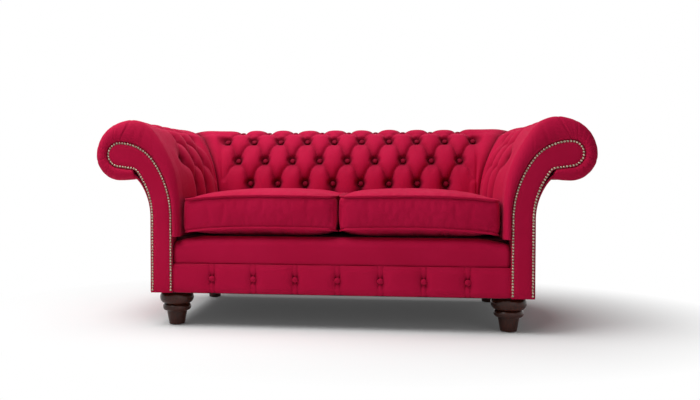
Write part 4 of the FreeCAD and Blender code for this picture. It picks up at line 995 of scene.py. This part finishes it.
# %% [markdown]
# ## The border and the lip under the cushions
#
# The front rail wears a narrow border with box pleats: at each button two folds lie side by side, and
# the button pinches them together.  Above it the seat's front edge is a soft roll, the lip, that
# drops a little where it meets the arms.  Both are grids of their front surface, and their open
# edges are drawn back to the rail.

# %% Border
FRONT_END = 576.7
BORDER_TOP = 223.6
BORDER_PITCH = 145.5
BORDER_BUTTON_Z = 172.6
RAIL_FACE = -393.3


def drawn_back(mesh, moves):
    """Draws the open edges of a surface to planes: moves is a list of (axis, place) in mm."""
    bm = bmesh.new()
    bm.from_mesh(mesh)
    open_edges = [edge for edge in bm.edges if edge.is_boundary]
    drawn = bmesh.ops.extrude_edge_only(bm, edges=open_edges)["geom"]
    for vert in (g for g in drawn if isinstance(g, bmesh.types.BMVert)):
        for axis, place in moves:
            vert.co[axis] = place * MM
    bm.to_mesh(mesh)
    bm.free()
    return closed(mesh)


def border_place(column, row):
    x = (2 * column / 520 - 1) * FRONT_END
    up = row / 34
    z = BASE_Z + (BORDER_TOP - BASE_Z) * up
    puff = 1 - np.abs(2 * up - 1) ** 5
    near = np.rint(np.clip(x / BORDER_PITCH, -3, 3)) * BORDER_PITCH
    off = np.abs(x - near)
    to_button = z - BORDER_BUTTON_Z
    pinch = np.exp(-((to_button / 15.0) ** 2))
    fold_at = 8.6 - 4.2 * pinch + 0.8 * np.sin(z / 9.0 + near)
    groove = (1.6 + 3.0 * np.exp(-((to_button / 20.0) ** 2))) * np.exp(-(((off - fold_at) / 2.8) ** 2))
    strip = np.where(off < fold_at, 1.2 + 1.2 * pinch, 0.0)
    hollow = 6.0 * np.exp(-((off / 17.0) ** 2) - (to_button / 22.0) ** 2)
    side_fall = 3.2 * np.exp(-(((off - fold_at) / 16.0) ** 2)) * (off > fold_at)
    ends = 3.0 * np.exp(-(((FRONT_END - np.abs(x)) / 10.0) ** 2))
    swell = 3.6 * puff * np.clip(np.sin(np.pi * np.clip(off / (BORDER_PITCH / 2), 0, 1) * 0.5), 0, 1)
    y = FACE_Y + 4.0 + 6.0 * (1 - puff) + groove + strip + hollow + side_fall * 0.6 + ends - swell
    y = y + wobble(x / 35.0, z / 30.0, 0.25)
    y = np.minimum(y, FACE_Y + 20.0)
    # Painted shade: darker in the pleats' grooves, in the hollow round each button and along the top and
    # bottom edges.
    fold = np.clip(groove / 9.0 + hollow / 14.0 + (1 - puff) * 0.35, 0, 1)
    return np.stack([x, y, z], axis=-1), fold


border = shaped_cloth("front_border_velvet", 520, 34, border_place)
left_open = drawn_back(border, [(1, RAIL_FACE)])
piece(border, velvet, "frame", ["front_border_pad"])
print("border:", len(border.polygons), "faces,", left_open, "open edges")

places = [((k * BORDER_PITCH, FACE_Y + 7.0, BORDER_BUTTON_Z), (0, -1, 0)) for k in range(-3, 4)]
buttons = set_down("border_velvet_buttons", BUTTON_PROFILE, 16, places)
# Painted shade: the border buttons are painted a little darker all over.
painted_shade_everywhere(buttons, 0.2)
piece(buttons, velvet, "frame", ["border_buttons"])

# %% Lip
LIP_FOOT = 223.9
LIP_TOP = 317.6
LIP_BACK = -364.7
LIP_RADIUS = 32.0
DECK_BOTTOM = 293.0


def lip_place(column, row):
    x = (2 * column / 300 - 1) * FRONT_END
    edge = FRONT_END - np.abs(x)
    drop = 20.0 * np.clip(1 - edge / 110.0, 0, 1) ** 1.5
    top = LIP_TOP - drop
    share = row / 30
    bow = np.clip(share / 0.5, 0, 1)
    turn = np.radians(90 * np.clip((share - 0.5) / 0.32, 0, 1))
    back = np.clip((share - 0.82) / 0.18, 0, 1)
    face = FACE_Y + 8.0 + 4.0 * np.exp(-((edge / 8.0) ** 2))
    y = face + 5.0 * (1 - np.sin(np.pi * 0.5 * bow) ** 0.8) + LIP_RADIUS * (1 - np.cos(turn))
    y = y + (LIP_BACK - face - LIP_RADIUS) * back
    z = LIP_FOOT + (top - LIP_RADIUS - LIP_FOOT) * bow + LIP_RADIUS * np.sin(turn)
    pull = 0.9 * np.sin(x / 31.0 + 0.7 * np.sin(x / 83.0)) * np.exp(-((edge - 20) / 90.0) ** 2)
    y = y - pull * np.sin(np.pi * np.minimum(share * 1.4, 1)) + wobble(x / 70.0, z / 40.0, 0.4)
    # Painted shade: darker at the two ends by the arms and along the foot where the lip meets the border.
    fold = np.exp(-((edge / 9.0) ** 2)) * 0.7 + 0.5 * np.exp(-(((z - LIP_FOOT) / 6.0) ** 2))
    return np.stack([x, y, z], axis=-1), fold


lip = shaped_cloth("front_lip_velvet", 300, 30, lip_place)
left_open = drawn_back(lip, [(1, LIP_BACK)])
piece(lip, velvet, "frame", ["front_lip_pad"])
print("lip:", len(lip.polygons), "faces,", left_open, "open edges")

# %% [markdown]
# ## The seat cushions
#
# Each cushion is a box of velvet, filled until it crowns.  The top and bottom panels are cut a little
# narrower at the back, and their seams hold a covered cord, so only the cloth between the seams can
# swell.  The form is drawn first as a loop round the cushion at every share of its width.  It is then
# remeshed into even quads and blown up as cloth, with the seams held, a little longer in the cloth
# than in the form, so that it creases along the seams as a sewn cushion does.

# %% The cushion's form
CUSHION_FRONT_Y = FACE_Y + 8.0
CUSHION_BACK_Y = 98.0
CUSHION_OUTER = INNER_HALF_WIDTH - 12.0
CUSHION_TAPER = 28.0
CUSHION_INNER = 7.2
SEAM_LOW = 335.0
SEAM_HIGH = 442.0
DECK_TOP = 318.0
SEAM_RISE = 18.0
CROWN = 38.0
SWELL_ROOM = 3.5
SIDE_BULGE = 6.0
CORD_LEAN = 2.69
CORD_RADIUS = 3.0
SHARE = (0.0, 0.02, 0.06, 0.16, 0.33, 0.5, 0.68, 0.84, 0.94, 0.98, 1.0)
RISE = (0.0, 0.1, 0.3, 0.6, 0.9, 1.0, 0.97, 0.9, 0.82, 0.79, 0.78)
FILL = (0.10, 0.26, 0.46, 0.74, 0.94, 1.0, 0.97, 0.86, 0.68, 0.52, 0.40)
BOX_STEPS, PANEL_STEPS, WIDTH_STEPS = 14, 70, 90
LOOP_STEPS = 2 * BOX_STEPS + 2 * PANEL_STEPS


def dome(share):
    return np.maximum(1 - np.abs(2 * share - 1) ** 2.6, 0) ** 0.55


def cushion_edges(share):
    """Front, back and the two seam heights at a share of the way in from the arm."""
    near = np.minimum(share, 1 - share) * CUSHION_OUTER
    r = 26.0
    inset = np.where(near < r, 0.6 * (r - np.sqrt(np.maximum(r**2 - (r - np.minimum(near, r)) ** 2, 0))), 0)
    lift = SEAM_RISE * np.interp(share, SHARE, RISE)
    return CUSHION_FRONT_Y + inset, CUSHION_BACK_Y - inset, SEAM_LOW + lift, SEAM_HIGH + lift


def cushion_across(side, share, y):
    depth_share = (y - CUSHION_FRONT_Y) / (CUSHION_BACK_Y - CUSHION_FRONT_Y)
    outer = CUSHION_OUTER - CUSHION_TAPER * depth_share
    return side * (outer + (CUSHION_INNER - outer) * share)


def cushion_panel(share, depth_share, top, room=0.0):
    """Depth and height of a point of the top or the bottom panel."""
    front, back, low, high = cushion_edges(share)
    fill = np.interp(share, SHARE, FILL)
    y = front + (back - front) * depth_share
    crown = np.maximum(SEAM_HIGH + fill * CROWN - room, high + 2)
    flat = np.minimum(dome(depth_share) * 1.08, 1)
    belly = low - fill * (low - DECK_TOP - 0.3)
    return y, high + (crown - high) * dome(depth_share) if top else low + (belly - low) * flat


def cushion_place(side):
    def place(column, row):
        share = column / WIDTH_STEPS
        front, back, low, high = cushion_edges(share)
        bulge = SIDE_BULGE * (0.5 + 0.5 * np.interp(share, SHARE, FILL)) - 2.0
        step = row % LOOP_STEPS
        up = np.clip(step / BOX_STEPS, 0, 1)
        over = np.clip((step - BOX_STEPS) / PANEL_STEPS, 0, 1)
        down = np.clip((step - BOX_STEPS - PANEL_STEPS) / BOX_STEPS, 0, 1)
        under = np.clip((step - 2 * BOX_STEPS - PANEL_STEPS) / PANEL_STEPS, 0, 1)
        top_y, top_z = cushion_panel(share, over, True, SWELL_ROOM)
        low_y, low_z = cushion_panel(share, 1 - under, False)
        y = np.select(
            [over <= 0, down <= 0, under <= 0],
            [front - bulge * np.sin(np.pi * up), top_y, back + bulge * np.sin(np.pi * down)],
            low_y,
        )
        z = np.select(
            [over <= 0, down <= 0, under <= 0],
            [low + (high - low) * up, top_z, high - (high - low) * down],
            low_z,
        )
        return np.stack([cushion_across(side, share, y), y, z], axis=-1), np.zeros(len(share))

    return place


def seam_run(side, top, lean):
    """The seam as a closed run of points, `lean` outwards and away from the box."""
    up = lean if top else -lean
    width = np.linspace(0, 1, WIDTH_STEPS + 1)
    front, back, low, high = cushion_edges(width)
    level = high if top else low
    ahead = np.stack([cushion_across(side, width, front), front - lean, level + up], axis=-1)
    behind = np.stack([cushion_across(side, width, back), back + lean, level + up], axis=-1)
    depth_share = np.linspace(0, 1, PANEL_STEPS + 1)
    ends = []
    for share, outwards in ((1.0, -side), (0.0, side)):
        at = np.full_like(depth_share, share)
        y, z = cushion_panel(at, depth_share, top)
        x = cushion_across(side, at, y) + outwards * lean
        ends.append(np.stack([x, y, z + up], axis=-1))
    inner, outer = ends
    run = np.vstack([ahead[2:-2], inner[2:-2], behind[::-1][2:-2], outer[::-1][2:-2]])
    for _ in range(3):
        run = 0.5 * run + 0.25 * (np.roll(run, 1, axis=0) + np.roll(run, -1, axis=0))
    return run


print("cushion crown at", SEAM_HIGH + CROWN, "mm, seams", SEAM_LOW, "to", SEAM_HIGH + SEAM_RISE)

# %% Blowing a cushion up as cloth
VOXEL = 0.0075
PRESSURE = 4.0
LONGER = 0.02
LAST_FRAME = 16
SWELL_CAP = 7.0


def co_of(mesh):
    flat = np.empty(len(mesh.vertices) * 3, np.float32)
    mesh.vertices.foreach_get("co", flat)
    return flat.reshape(-1, 3).astype(float)


def evaluated(holder):
    depsgraph = bpy.context.evaluated_depsgraph_get()
    return bpy.data.meshes.new_from_object(holder.evaluated_get(depsgraph))


def even_quads(mesh):
    holder = bpy.data.objects.new("form", mesh)
    bpy.context.scene.collection.objects.link(holder)
    remesh = holder.modifiers.new("even", "REMESH")
    remesh.mode = "VOXEL"
    remesh.voxel_size = VOXEL
    even = evaluated(holder)
    bpy.data.objects.remove(holder)
    return even


def swollen(mesh, held):
    """The mesh's points after the cloth has been blown up with the held points fixed."""
    holder = bpy.data.objects.new("cloth", mesh)
    bpy.context.scene.collection.objects.link(holder)
    group = holder.vertex_groups.new(name="seams")
    group.add(np.flatnonzero(held).tolist(), 1.0, "REPLACE")
    cloth = holder.modifiers.new("cloth", "CLOTH")
    cloth.settings.quality = 3
    cloth.settings.mass = 0.25
    cloth.settings.tension_stiffness = 14.0
    cloth.settings.compression_stiffness = 14.0
    cloth.settings.bending_stiffness = 0.4
    cloth.settings.use_pressure = True
    cloth.settings.uniform_pressure_force = PRESSURE
    cloth.settings.shrink_min = -LONGER
    cloth.settings.vertex_group_mass = "seams"
    cloth.settings.effector_weights.gravity = 0.0
    cloth.collision_settings.use_collision = False
    for number in range(1, LAST_FRAME + 1):
        bpy.context.scene.frame_set(number)
    blown = evaluated(holder)
    points = co_of(blown)
    bpy.data.meshes.remove(blown)
    bpy.data.objects.remove(holder)
    bpy.context.scene.frame_set(1)
    return points


# %% Cushions
for hand, side in (("left", -1), ("right", 1)):
    form = shaped_cloth(hand + "_form", WIDTH_STEPS, LOOP_STEPS, cushion_place(side))
    closed(form)
    cushion = even_quads(form)
    cushion.name = hand + "_cushion_velvet"
    before = co_of(cushion)
    seams = np.vstack([seam_run(side, top, 0.0) for top in (True, False)]) * MM
    to_seam = np.array([np.sqrt(((seams - point) ** 2).sum(axis=1).min()) for point in before])
    after = swollen(cushion, to_seam < 0.0065)
    move = (after - before) / MM
    size = np.sqrt((move**2).sum(axis=1))[:, None]
    move *= np.minimum(1, SWELL_CAP * np.tanh(size / SWELL_CAP) / np.maximum(size, 0.001))
    after = before + move * MM
    after[:, 2] = np.maximum(after[:, 2], (DECK_TOP + 0.3) * MM)
    inner_limit = 1.2 * MM
    after[:, 0] = side * np.maximum(side * after[:, 0], inner_limit)
    cushion.vertices.foreach_set("co", after.astype(np.float32).ravel())
    # Painted shade: the velvet is darkened along the seams.
    layer = cushion.attributes.new("fold", "FLOAT", "POINT")
    layer.data.foreach_set("value", (0.75 * np.exp(-to_seam / 0.005)).astype(np.float32))
    for face in cushion.polygons:
        face.use_smooth = True
    made = piece(
        cushion, velvet, hand + "_cushion", [hand + "_seat_cushion"]
    )
    finer = made.modifiers.new("finer", "SUBSURF")
    finer.levels = 1
    finer.render_levels = 1
    moved = round(float(np.abs(move).max()), 1)
    print(hand, "cushion:", len(cushion.polygons), "faces, moved up to", moved, "mm")

# %% [markdown]
# ## Self piping
#
# Both seams of a cushion hold a cord covered in the same velvet.  It is a round tube carried along
# the seam's own line, a little outside it.  The strip that covers the cord runs on into the seam, so
# its section is a drop whose point lies inside the cushion, and nothing can be seen between them.

# %% Piping
CORD_SIDES = 12
FLANGE_REACH = 2.4


def cord_place(run, top):
    ahead = np.roll(run, -1, axis=0) - np.roll(run, 1, axis=0)
    ahead /= np.sqrt((ahead**2).sum(axis=1))[:, None]
    aside = np.cross(ahead, [0.0, 0.0, 1.0])
    aside /= np.sqrt((aside**2).sum(axis=1))[:, None]
    upright = np.cross(aside, ahead)
    to_middle = np.sign((aside * (run.mean(axis=0) - run)).sum(axis=1))
    to_box = np.sign(upright[:, 2]) * (-1 if top else 1)
    into_seam = (to_middle[:, None] * aside + to_box[:, None] * upright) * math.sqrt(0.5)

    def place(column, row):
        at = column % len(run)
        angle = 2 * np.pi * (row % CORD_SIDES) / CORD_SIDES
        radius = CORD_RADIUS * (1 + 0.04 * np.sin(at * 1.9))
        out = np.cos(angle)[:, None] * aside[at] + np.sin(angle)[:, None] * upright[at]
        towards_seam = np.maximum((out * into_seam[at]).sum(axis=1), 0)
        radius = radius * (1 + FLANGE_REACH * towards_seam**6)
        # Painted shade: the cord is a little darker all round and darkest where its strip runs into the
        # seam.
        return run[at] + radius[:, None] * out, 0.1 + 0.6 * towards_seam**6

    return place


for hand, side in (("left", -1), ("right", 1)):
    both = bmesh.new()
    for top in (True, False):
        run = seam_run(side, top, CORD_LEAN)
        cord = shaped_cloth("cord", len(run), CORD_SIDES, cord_place(run, top))
        both.from_mesh(cord)
        bpy.data.meshes.remove(cord)
    piping = bpy.data.meshes.new(hand + "_piping_velvet")
    both.to_mesh(piping)
    both.free()
    left_open = closed(piping)
    piece(piping, velvet, hand + "_cushion", [hand + "_cushion_piping"])
    print(hand, "piping:", len(piping.polygons), "faces,", left_open, "open edges")

# %% [markdown]
# ## The deck
#
# The cushions lie on a thin felted pad over the springs.  It is seen only when a cushion is lifted.

# %% Deck pad
DECK_HALF_WIDTH = 578.8
DECK_FRONT, DECK_BACK = -364.2, 163.8


def deck_place(column, row):
    along, deep = column / 120, row / 60
    round_over = rounded(along, 12.0, 1157.0) + rounded(deep, 12.0, 528.0)
    x = (2 * along - 1) * DECK_HALF_WIDTH
    y = DECK_FRONT + (DECK_BACK - DECK_FRONT) * deep
    quilted = 0.8 * (np.sin(x / 24.0) * np.sin(y / 24.0)) ** 2
    z = DECK_TOP - 0.4 - quilted - 5.0 * np.minimum(round_over, 1)
    return np.stack([x, y, z], axis=-1), np.zeros(len(x))


def deck_colour(place):
    fibres = noise(place, 900.0, 3.0, (1.0, 6.0, 1.0))
    return fibres.held(0.3, 0.7).between((0.060, 0.003, 0.010), (0.120, 0.008, 0.022))


felt = new_finish(
    "deck_felt",
    {},
    deck_colour,
    lambda place: 0.9 + 0.08 * noise(place, 500.0),
    lambda place: noise(place, 1200.0, 3.0),
    0.0004,
)
deck = shaped_cloth("seat_deck_felt", 120, 60, deck_place)
left_open = drawn_back(deck, [(2, DECK_BOTTOM)])
piece(deck, felt, "frame", ["seat_deck"])
print("deck:", len(deck.polygons), "faces,", left_open, "open edges")

# %% [markdown]
# ## Polished legs
#
# The legs are stained beech, French polished to a deep red brown, so they need a clear coat over a
# dark wood whose grain still shows.  Their turned form is right as the frame gives it, and only the
# finish is put on.  The timber inside is left raw, with its grain along the board.

# %% Woods
def leg_colour(place):
    grain = noise(place, 60.0, 5.0, (6.0, 6.0, 0.7))
    cloud = noise(place, 14.0, 2.0)
    stained = grain.held(0.30, 0.70).between((0.022, 0.004, 0.002), (0.080, 0.014, 0.006))
    return cloud.held(0.35, 0.75).between(stained, (0.030, 0.008, 0.004))


polished = new_finish(
    "polished_leg",
    {"Coat Weight": 0.3, "Coat Roughness": 0.08, "Specular IOR Level": 0.12},
    leg_colour,
    lambda place: 0.28 + 0.14 * noise(place, 120.0, 3.0),
    lambda place: noise(place, 90.0, 4.0, (6.0, 6.0, 0.7)),
    0.00008,
)


def board_colour(stretch):
    def colour(place):
        grain = noise(place, 40.0, 5.0, stretch)
        knots = noise(place, 6.0, 1.0)
        board = grain.held(0.3, 0.7).between((0.42, 0.27, 0.15), (0.66, 0.48, 0.31))
        return knots.held(0.55, 0.80).between(board, (0.36, 0.22, 0.12))

    return colour


def board_finish(name, stretch):
    return new_finish(
        name,
        {},
        board_colour(stretch),
        lambda place: 0.55 + 0.25 * noise(place, 150.0, 3.0, stretch),
        lambda place: noise(place, 180.0, 3.0, stretch),
        0.0002,
    )


upright = board_finish("timber_upright", (5.0, 5.0, 0.5))
crosswise = board_finish("timber_crosswise", (0.5, 5.0, 5.0))
lengthwise = board_finish("timber_lengthwise", (5.0, 0.5, 5.0))

# %% Webbing, dust cloth, metals and glides
def mottled(scale, detail, dark, light):
    """A recipe for a colour that drifts between two by noise."""
    return lambda place: noise(place, scale, detail).held(0.3, 0.7).between(dark, light)


def webbing_colour(place):
    across = noise(place, 260.0, 2.0, (1.0, 8.0, 8.0))
    woven = noise(place, 900.0, 2.0)
    jute = woven.held(0.3, 0.7).between((0.30, 0.20, 0.11), (0.52, 0.38, 0.22))
    return across.held(0.55, 0.62).between(jute, (0.12, 0.05, 0.03))


webbing = new_finish(
    "jute_webbing",
    {},
    webbing_colour,
    lambda place: 0.85 + 0.1 * noise(place, 300.0),
    lambda place: noise(place, 1100.0, 2.0),
    0.0005,
)
dust_cloth = new_finish(
    "black_dust_cloth",
    {},
    mottled(800.0, 3.0, (0.012, 0.012, 0.013), (0.035, 0.034, 0.036)),
    lambda place: 0.88 + 0.1 * noise(place, 200.0),
    lambda place: noise(place, 1500.0, 2.0),
    0.0003,
)
spring_metal = new_finish(
    "blued_steel",
    {"Metallic": 1.0},
    mottled(120.0, 3.0, (0.10, 0.10, 0.11), (0.30, 0.30, 0.32)),
    lambda place: 0.35 + 0.25 * noise(place, 300.0),
    lambda place: noise(place, 500.0),
    0.0001,
)
zinc = new_finish(
    "zinc_plate",
    {"Metallic": 1.0},
    mottled(200.0, 3.0, (0.42, 0.41, 0.38), (0.66, 0.65, 0.60)),
    lambda place: 0.3 + 0.2 * noise(place, 400.0),
    lambda place: noise(place, 600.0),
    0.0001,
)
glide_plastic = new_finish(
    "glide_plastic",
    {},
    mottled(150.0, 2.0, (0.030, 0.028, 0.026), (0.065, 0.060, 0.056)),
    lambda place: 0.5 + 0.2 * noise(place, 300.0),
    lambda place: noise(place, 700.0),
    0.0001,
)

# %% Finishes on the pieces that stay as the frame gives them
CARRIED_OVER = (
    (polished, ("front_leg", "rear_leg")),
    (glide_plastic, ("leg_glides",)),
    (zinc, ("leg_bolts", "leg_nuts", "spring_clips")),
    (spring_metal, ("seat_springs",)),
    (webbing, ("arm_webbing", "back_webbing")),
    (dust_cloth, ("dust_cover",)),
    (crosswise, ("front_seat_rail", "rear_seat_rail", "back_base_rail")),
    (crosswise, ("back_top_rail", "back_stuffing_rail")),
    (lengthwise, ("seat_rail", "arm_top_rail", "stuffing_rail", "centre_seat_brace")),
    (upright, ("post", "rib", "corner_blocks")),
)
shown = [node for name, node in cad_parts.items() if not node.hide_render]
for node in shown:
    finish = next((f for f, words in CARRIED_OVER if any(word in node.name for word in words)), None)
    if finish is None:
        print("no finish for", node.name)
        continue
    for slot in node.material_slots:
        slot.material = finish
print("finished", len(shown), "pieces of the frame")

# %% [markdown]
# ## The studio
#
# A pale floor takes the sofa's shadow.  It is white to the camera and to mirrors, through Light
# Path, so that the picture has a white ground without more light on the velvet.  A large soft lamp
# stands high on the left and a weaker one in front, and the world fills the rest.

# %% Floor
FLOOR_GREY = 0.86
FLOOR_GLOW = 0.05
SHADOW_ROOM = (0.75, 1.0, 1.0)


def white_ground(name):
    material = bpy.data.materials.new(name)
    material.use_nodes = True
    tree = material.node_tree
    tree.nodes.clear()
    start = Dye(tree)
    path = start.node("ShaderNodeLightPath")
    seen = Dye(tree, path.socket.node.outputs["Is Camera Ray"])
    glossy = Dye(tree, path.socket.node.outputs["Is Glossy Ray"])
    clear = Dye(tree, path.socket.node.outputs["Is Transmission Ray"])
    seen = start.sum("MAXIMUM", start.sum("MAXIMUM", seen, glossy), clear)
    place = start.node("ShaderNodeTexCoord", out=3)
    about = start.node("ShaderNodeMapping", values={"Vector": place, "Scale": SHADOW_ROOM})
    away = start.node("ShaderNodeVectorMath", {"operation": "LENGTH"}, {0: about}, out=1)
    far = away.held(0.58, 1.14)
    matt = start.node("ShaderNodeBsdfDiffuse", values={"Color": (FLOOR_GREY,) * 3 + (1.0,)})
    glow = start.node("ShaderNodeEmission", values={"Color": (1, 1, 1, 1), "Strength": seen * FLOOR_GLOW})
    floor = start.node("ShaderNodeAddShader", values={0: matt, 1: glow})
    white = start.node("ShaderNodeEmission", values={"Color": (1, 1, 1, 1), "Strength": seen})
    both = start.node("ShaderNodeMixShader", values={0: far * seen, 1: floor, 2: white})
    end = tree.nodes.new("ShaderNodeOutputMaterial")
    tree.links.new(both.socket, end.inputs["Surface"])
    return material


bm = bmesh.new()
bmesh.ops.create_grid(bm, x_segments=1, y_segments=1, size=30)
floor_mesh = bpy.data.meshes.new("studio_floor")
bm.to_mesh(floor_mesh)
bm.free()
floor_mesh.materials.append(white_ground("floor_white"))
floor = bpy.data.objects.new("studio_floor", floor_mesh)
bpy.context.scene.collection.objects.link(floor)

# %% Lamps and world
LAMPS = (
    ("key", (-1.5, -0.9, 3.0), (0.1, 0.0, 0.45), 2.4, 106.0),
    ("front_fill", (1.8, -3.6, 1.6), (0.0, 0.0, 0.4), 2.4, 9.0),
    ("top", (0.2, 0.6, 3.2), (0.0, 0.0, 0.4), 2.2, 24.0),
)
for name, place, aim, size, power in LAMPS:
    lamp = bpy.data.objects.new(name, bpy.data.lights.new(name, "AREA"))
    bpy.context.scene.collection.objects.link(lamp)
    lamp.data.size = size
    lamp.data.energy = power
    lamp.location = place
    lamp.rotation_euler = (Vector(aim) - Vector(place)).to_track_quat("-Z", "Y").to_euler()

world = bpy.data.worlds.new("studio")
bpy.context.scene.world = world
world.use_nodes = True
sky = Dye(world.node_tree)
ray = sky.node("ShaderNodeLightPath")
seen = Dye(world.node_tree, ray.socket.node.outputs["Is Camera Ray"])
shine = Dye(world.node_tree, ray.socket.node.outputs["Is Glossy Ray"])
clear = Dye(world.node_tree, ray.socket.node.outputs["Is Transmission Ray"])
direct = sky.sum("MAXIMUM", sky.sum("MAXIMUM", seen, shine), clear)
WORLD_LIGHT = 0.12
background = world.node_tree.nodes["Background"]
background.inputs["Color"].default_value = (1, 1, 1, 1)
world.node_tree.links.new((WORLD_LIGHT + (1 - WORLD_LIGHT) * direct).socket, background.inputs["Strength"])
print("lamps:", [lamp[0] for lamp in LAMPS])
